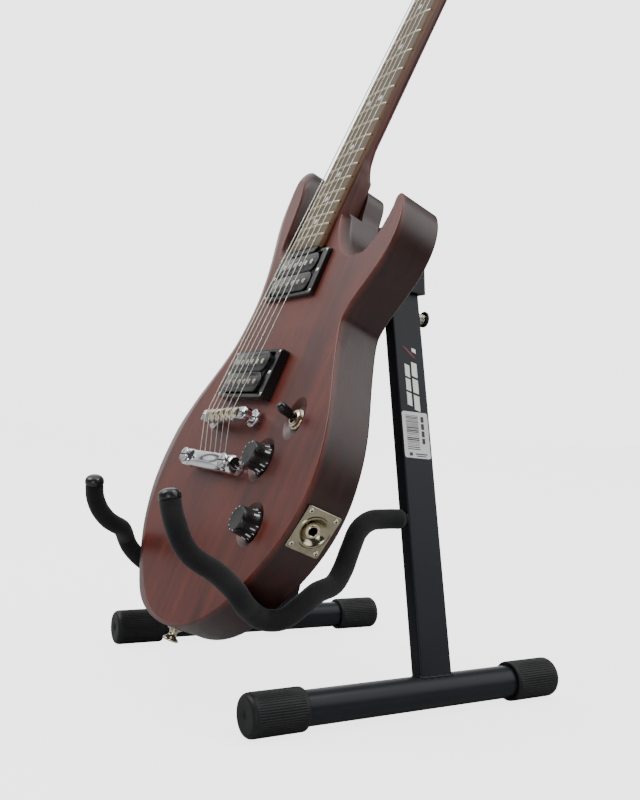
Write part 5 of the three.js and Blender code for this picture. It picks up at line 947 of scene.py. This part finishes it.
# ---- controls
def knob(name, x, y, rest):
    b = KNOB_BASE
    def rad(t, z, r): return 0
    pts = [(0, b + 2), (3.2, b + 2), (3.2, b + 0.5), (12.0, b + 0.35), (12.6, b + 0.6), (12.85, b + 1.1), (12.8, b + 1.8), (12.35, b + 2.9), (11.75, b + 4.6), (11.3, b + 6.6), (10.95, b + 9.0), (10.7, b + 11.8), (10.5, b + 14.2), (10.25, b + 15.1), (9.75, b + 15.7), (9.0, b + 15.9), (8.0, b + 15.8), (5, b + 15.6), (0, b + 15.5)]
    mb = MB().add(lathe(pts, 96), 0)
    wall = sorted((z, r) for r, z in pts[6:13])
    rw = lambda z: float(np.interp(z, [q[0] for q in wall], [q[1] for q in wall]))
    def mark(a, prof, w, nz):
        # a thin raised mark lying on the surface given by prof
        c, s_ = math.cos(a), math.sin(a); rings = []
        for r, z in prof:
            pr, pz = r - nz[0] * 0.25, z - nz[1] * 0.25; qr, qz = r + nz[0] * 0.07, z + nz[1] * 0.07
            rings.append([(x * c - t * s_, x * s_ + t * c, zz) for x, t, zz in ((pr, -w, pz), (pr, w, pz), (qr, w, qz), (qr, -w, qz))])
        mb.add(loft(rings), 1)
    for i in range(11):
        a = R(rest + 28 + i * 30.4)
        mark(a, [(rw(z), z) for z in (b + 3.3, b + 4.6, b + 5.9, b + 7.3)], (0.78, 0.5, 0.66)[i % 3], (0.95, 0.3))
        mark(a + R(15), [(rw(z), z) for z in (b + 2.4, b + 3.2, b + 4.0)], 0.34, (0.93, 0.36))
        if 80 < (math.degrees(a) % 360) < 290: mark(a, [(9.95, b + 15.48), (9.75, b + 15.7), (9.35, b + 15.82), (8.75, b + 15.88)], 0.36, (0.35, 0.94))
    body_name = 'volume_control' if name == 'volume' else 'tone_control'
    make(name + '_dial', mb, GF @ T(x, y, 0), body_name, [KNOBM, WHITE], name + '_knob', ang=30)
    mb = MB().add(lathe([(0, -26), (12, -26), (12, -16.2), (8, -13.2), (4, -13.2), (4, -4.4), (3, -4.4), (3, b + 4), (0, b + 4)], 40))
    make(name + '_potentiometer', mb, GF @ T(x, y, 0), 'guitar', SCREW, name + '_pot')
knob('volume', *VOL, 0)
knob('tone', *TONE, 12)
def toggle():
    M = GF @ T(TOGGLE[0], TOGGLE[1], 0)
    mb = MB().add(lathe([(0, -30), (8, -30), (8, -8.2), (5.9, -8.2), (5.9, -3.35), (8.1, -3.3), (8.5, -3.0), (8.55, -2.3), (8.2, -1.9), (7.2, -1.75), (7.1, -1.2), (7.25, -0.7), (7.0, 0.3), (6.3, 0.85), (5.6, 1.15), (4.9, 1.3), (4.4, 1.2), (4.35, 0.4), (4.3, -3.4), (0, -3.4)], 48, lambda t, z, r: (0.12 * math.cos(30 * t) if 6.9 < r < 7.35 and z > -1.5 else 0)), 0)
    make('switch_collar', mb, M, 'guitar', NICKEL, 'toggle_switch', ang=35)
    M = M @ T(0, 0, -1) @ RX(TOGGLE_REST)
    mb = MB().add(lathe([(0, -1.4), (1.6, -1.4), (1.7, 3.0), (0, 3.0)], 24), 1)
    mb.add(lathe([(0, 2.9), (2.3, 2.9), (2.9, 3.3), (3.2, 4.3), (3.6, 7.0), (3.95, 10.5), (4.05, 13.4), (3.9, 15.2), (3.3, 16.7), (2.3, 17.7), (1.1, 18.15), (0, 18.25)], 40), 0)
    make('switch_lever', mb, M, 'pickup_selector', [GLOSS, NICKEL], 'toggle_lever', ang=40)
toggle()
# ---- jack plate
def jack():
    hl = JLEN / 2
    o = rrect(-hl, hl, -14, 14, 1.2, 5)
    n = len(o)
    # outer square flowing into the dished centre: same point count, angles kept
    angs = [math.atan2(y, x) for x, y in o]
    cir = lambda r: [(r * math.cos(a), r * math.sin(a)) for a in angs]
    # denser rim
    dense = []
    for i in range(n):
        a, b = o[i], o[(i + 1) % n]; L = math.hypot(b[0] - a[0], b[1] - a[1]); k = max(1, int(L / 1.1))
        for j in range(k): dense.append((a[0] + (b[0] - a[0]) * j / k, a[1] + (b[1] - a[1]) * j / k))
    angs = [math.atan2(y, x) for x, y in dense]
    cir = lambda r, z: [(r * math.cos(a), r * math.sin(a), z) for a in angs]
    rings = [[(x, y, 0.0) for x, y in dense], [(x, y, 1.0) for x, y in dense], [(x * 0.985, y * 0.98, 1.25) for x, y in dense], cir(12.7, 1.25), cir(12.4, 1.35), cir(11.9, 1.85), cir(11.2, 2.1), cir(10.5, 1.85), cir(9.8, 1.15), cir(8.9, 0.1), cir(7.8, -1.1), cir(6.8, -1.95), cir(6.0, -2.35), cir(5.0, -2.45), cir(5.0, -3.0), cir(7.0, -2.9), cir(9.0, -0.6)]
    V, Fc = loft(rings, False, False); m = len(dense); k = len(rings) - 1
    for a in range(m): Fc.append([k * m + a, k * m + (a + 1) % m, (a + 1) % m, a])
    make('output_plate', MB().add((V, Fc)), JPF, 'guitar', PLATE, 'jack_plate', ang=40)
    mb = MB()
    for x in (-hl + 3.6, hl - 3.6):
        for y in (-10.6, 10.6):
            mb.add(lathe([(0, 0.9), (2.1, 0.9), (2.1, 1.35), (1.75, 1.85), (1.0, 2.15), (0.8, 2.1), (0.35, 1.7), (0, 1.65)], 28), 0, T(x, y, 0))
            # painted shade: near-black bars on the head stand for the cross recess
            for r_ in (0, 90): mb.add(box(-1.05, 1.05, -0.22, 0.22, 1.95, 2.16), 1, T(x, y, 0) @ RZ(r_ + 20))
    make('output_plate_screws', mb, JPF, 'guitar', [SCREW, DARK], ang=40)
    mb = MB().add(lathe_closed([(3.3, -18), (5.6, -18), (5.6, -3.8), (4.6, -3.8), (4.6, -2.4), (5.3, -2.3), (5.6, -2.0), (5.6, -0.9), (5.3, -0.45), (4.7, -0.4), (4.6, 0.1), (4.2, 0.35), (3.7, 0.3), (3.4, 0.0)], 40), 0)
    mb.add(lathe([(0, -17), (3.35, -17), (3.35, -16), (0, -16)], 24), 1)
    make('output_socket', mb, JPF, 'guitar', [NICKEL, DARK], 'jack_socket', ang=35)
jack()
# ---- strap buttons
def strap(name, M):
    pts = [(0, -1.5), (5.9, -1.5), (5.9, 0.05), (6.5, 0.2), (6.6, 0.7), (6.0, 1.5), (4.6, 2.2), (3.6, 3.3), (3.25, 4.8), (3.4, 6.4), (4.4, 7.9), (5.8, 8.8), (6.6, 9.5), (6.75, 10.2), (6.4, 10.9), (5.4, 11.3), (3.0, 11.4), (2.6, 11.0), (1.4, 11.2), (0.5, 10.6), (0, 10.6)]
    make(name.replace('_strap', '') + '_strap_peg', MB().add(lathe(pts, 48)), M, 'guitar', NICKEL, name, ang=40)
strap('tail_strap_button', GF @ T(1, -337.1, -19) @ RX(90))
strap('heel_strap_button', GF @ T(0, 56, -BODY_T) @ RX(180))

# ---- machine heads
for s, n in ((-1, 'bass'), (1, 'treble')):
    mb = MB()
    mb.add(loft([[(x, y, z) for x, y in rrect(s * TUNER_X - 6.5, s * TUNER_X + 6.5, TUNER_H[0] - 14, TUNER_H[2] + 14, 2.4, 5)] for z in (-HEAD_T - 1.6, -HEAD_T - 0.05)]), 0)
    for h in TUNER_H:
        a, b = sorted((s * (TUNER_X - 5.5), s * (TUNER_X + 8.5)))
        q = rrect(a, b, h - 6.8, h + 6.8, 2.6, 6); cx = (a + b) / 2
        mb.add(loft([[(x, y, -HEAD_T - 1.4) for x, y in q], [(x, y, -HEAD_T - 7.4) for x, y in q], [(cx + (x - cx) * 0.95, h + (y - h) * 0.95, -HEAD_T - 8.6) for x, y in q], [(cx + (x - cx) * 0.84, h + (y - h) * 0.84, -HEAD_T - 9.4) for x, y in q], [(cx + (x - cx) * 0.6, h + (y - h) * 0.6, -HEAD_T - 9.6) for x, y in q]]), 0)
        mb.add(lathe([(0, -3), (4.1, -3), (4.1, 0.1), (6.6, 0.1), (6.9, 0.4), (6.9, 0.9), (6.5, 1.15), (4.9, 1.3), (4.9, 2.0), (4.5, 2.3), (3.0, 2.35), (3.0, 9.6), (2.9, 10.4), (2.5, 11.4), (1.9, 11.95), (0, 12)], 36, lambda t, z, r: (-0.35 if (r > 2.7 and 3.4 < z < 9) else 0)), 1, T(s * TUNER_X, h, 0))
        mb.add(lathe([(0, s * (TUNER_X + 8.4)), (2.9, s * (TUNER_X + 8.4)), (2.9, s * (TUNER_X + 9.9)), (0, s * (TUNER_X + 9.9))], 24), 0, T(0, h, -HEAD_T - 5.2) @ RY(90))
    for y in (TUNER_H[0] - 10.6, 64, 100, TUNER_H[2] + 10.6):
        mb.add(lathe([(0, HEAD_T + 1.5), (1.7, HEAD_T + 1.5), (1.4, HEAD_T + 2.1), (0, HEAD_T + 2.4)], 20), 1, T(s * TUNER_X, y, 0) @ RX(180))
    make(n + '_tuner_set', mb, HF, 'guitar', [CHROME, NICKEL], n + '_machine_heads', ang=35)
    for k, h in enumerate(TUNER_H):
        x0 = TUNER_X + 4.4
        mb = MB().add(lathe([(0, x0), (1.85, x0), (1.85, x0 + 11.6), (2.6, x0 + 12.2), (3.2, x0 + 13.8), (3.2, x0 + 14.6), (0, x0 + 14.6)], 28), 0)
        # kidney-shaped button, flat across the shaft
        rings = []
        for j in range(15):
            u = j / 14; z = x0 + 14.2 + 19.4 * u
            w = 9.1 * (math.sin(math.pi * min(1, 0.16 + u * 0.84)) ** 0.55) if u < 1 else 0.6
            w = max(w, 0.8); th = 3.9 * (0.72 + 0.28 * math.sin(math.pi * u)) * (1.0 if u < 0.9 else (1 - (u - 0.9) * 6))
            rings.append([(th * math.cos(t), w * math.sin(t), z) for t in [2 * math.pi * q_ / 24 for q_ in range(24)]])
        mb.add(loft(rings), 0)
        make('%s_button_%d' % (n, k + 1), mb, HF @ T(0, h, -HEAD_T - 5.2) @ RY(90 * s), '%s_tuner_%d' % (n, k + 1), CHROME, '%s_tuner_button_%d' % (n, k + 1), ang=45)

# ================================================================== STAGE
def stage():
    m = Mat('floor_paper', 0.8, 0.0, (0.4, 0.4, 0.4)); n = m.noise(3, 3)
    m.color(m.mix(m.rng(n, 0, 0.1, 0.4, 0.7), (0.42, 0.42, 0.42), (0.4, 0.4, 0.405))); m.rough(m.rng(n, 0.75, 0.85)); m.normal(m.bump(m.noise(300, 3), 0.0001, 0.1))
    lp = m.nt.nodes.new('ShaderNodeLightPath')
    m.b.inputs['Emission Color'].default_value = (1, 1, 1, 1)
    m.link(m.math('MULTIPLY', lp.outputs['Is Camera Ray'], 2.7), m.b.inputs['Emission Strength'])
    me = bpy.data.meshes.new('floor'); s = 14
    me.from_pydata([(-s, -s, 0), (s, -s, 0), (s, s, 0), (-s, s, 0)], [], [[0, 1, 2, 3]])
    me.materials.append(m.m)
    ob = bpy.data.objects.new('floor', me); bpy.context.scene.collection.objects.link(ob)
stage()
world = bpy.data.worlds.new('studio'); bpy.context.scene.world = world; world.use_nodes = True
nt = world.node_tree; bg = nt.nodes['Background']
tcw = nt.nodes.new('ShaderNodeTexCoord')
def lobe(d, lo, hi, v):
    d = Vector(d).normalized()
    dp = nt.nodes.new('ShaderNodeVectorMath'); dp.operation = 'DOT_PRODUCT'; dp.inputs[1].default_value = d
    nt.links.new(tcw.outputs['Generated'], dp.inputs[0])
    q = nt.nodes.new('ShaderNodeMapRange'); q.interpolation_type = 'SMOOTHSTEP'
    nt.links.new(dp.outputs['Value'], q.inputs['Value'])
    q.inputs['From Min'].default_value = lo; q.inputs['From Max'].default_value = hi
    q.inputs['To Min'].default_value = 0.0; q.inputs['To Max'].default_value = v
    return q.outputs['Result']
def add(a, b, op='ADD'):
    n = nt.nodes.new('ShaderNodeMath'); n.operation = op
    for sck, x in ((n.inputs[0], a), (n.inputs[1], b)):
        if isinstance(x, (int, float)): sck.default_value = x
        else: nt.links.new(x, sck)
    return n.outputs[0]
val = add(0.07, lobe((-0.60, -0.08, 0.80), 0.60, 1.0, 1.25))
val = add(val, lobe((-0.87, 0.49, 0.05), 0.76, 0.97, 1.3))
val = add(val, lobe((0.42, 0.62, 0.66), 0.80, 0.97, 2.4))
val = add(val, lobe((-0.84, -0.52, 0.05), 0.88, 0.99, 0.26))
val = add(val, lobe((0.1, -0.1, 1.0), 0.80, 0.98, 0.9))
ring = add(lobe((-0.902, -0.262, 0.340), 0.9935, 0.9958, 1.0), lobe((-0.902, -0.262, 0.340), 0.9978, 0.9988, 1.0), 'SUBTRACT')
val = add(val, add(1.0, add(ring, 0.86, 'MULTIPLY'), 'SUBTRACT'), 'MULTIPLY')
lpw = nt.nodes.new('ShaderNodeLightPath')
mixw = nt.nodes.new('ShaderNodeMix'); mixw.data_type = 'FLOAT'
nt.links.new(lpw.outputs['Is Camera Ray'], mixw.inputs['Factor'])
nt.links.new(val, mixw.inputs[2]); mixw.inputs[3].default_value = 3.25
nt.links.new(mixw.outputs[0], bg.inputs['Strength'])
bg.inputs['Color'].default_value = (1, 1, 1, 1)

def area(name, loc, target, size, power, sy=None):
    l = bpy.data.lights.new(name, 'AREA'); l.energy = power; l.size = size
    if sy: l.shape = 'RECTANGLE'; l.size_y = sy
    o = bpy.data.objects.new(name, l); bpy.context.scene.collection.objects.link(o)
    o.location = loc; d = Vector(target) - Vector(loc)
    o.rotation_euler = d.to_track_quat('-Z', 'Y').to_euler(); return o
area('key', (-0.6, -1.4, 1.8), (0, -0.05, 0.3), 1.1, 24)
area('top', (0.5, 0.5, 2.0), (0, 0, 0.4), 0.9, 9)
area('side', (1.9, -1.5, 0.5), (0, 0, 0.5), 1.0, 11)
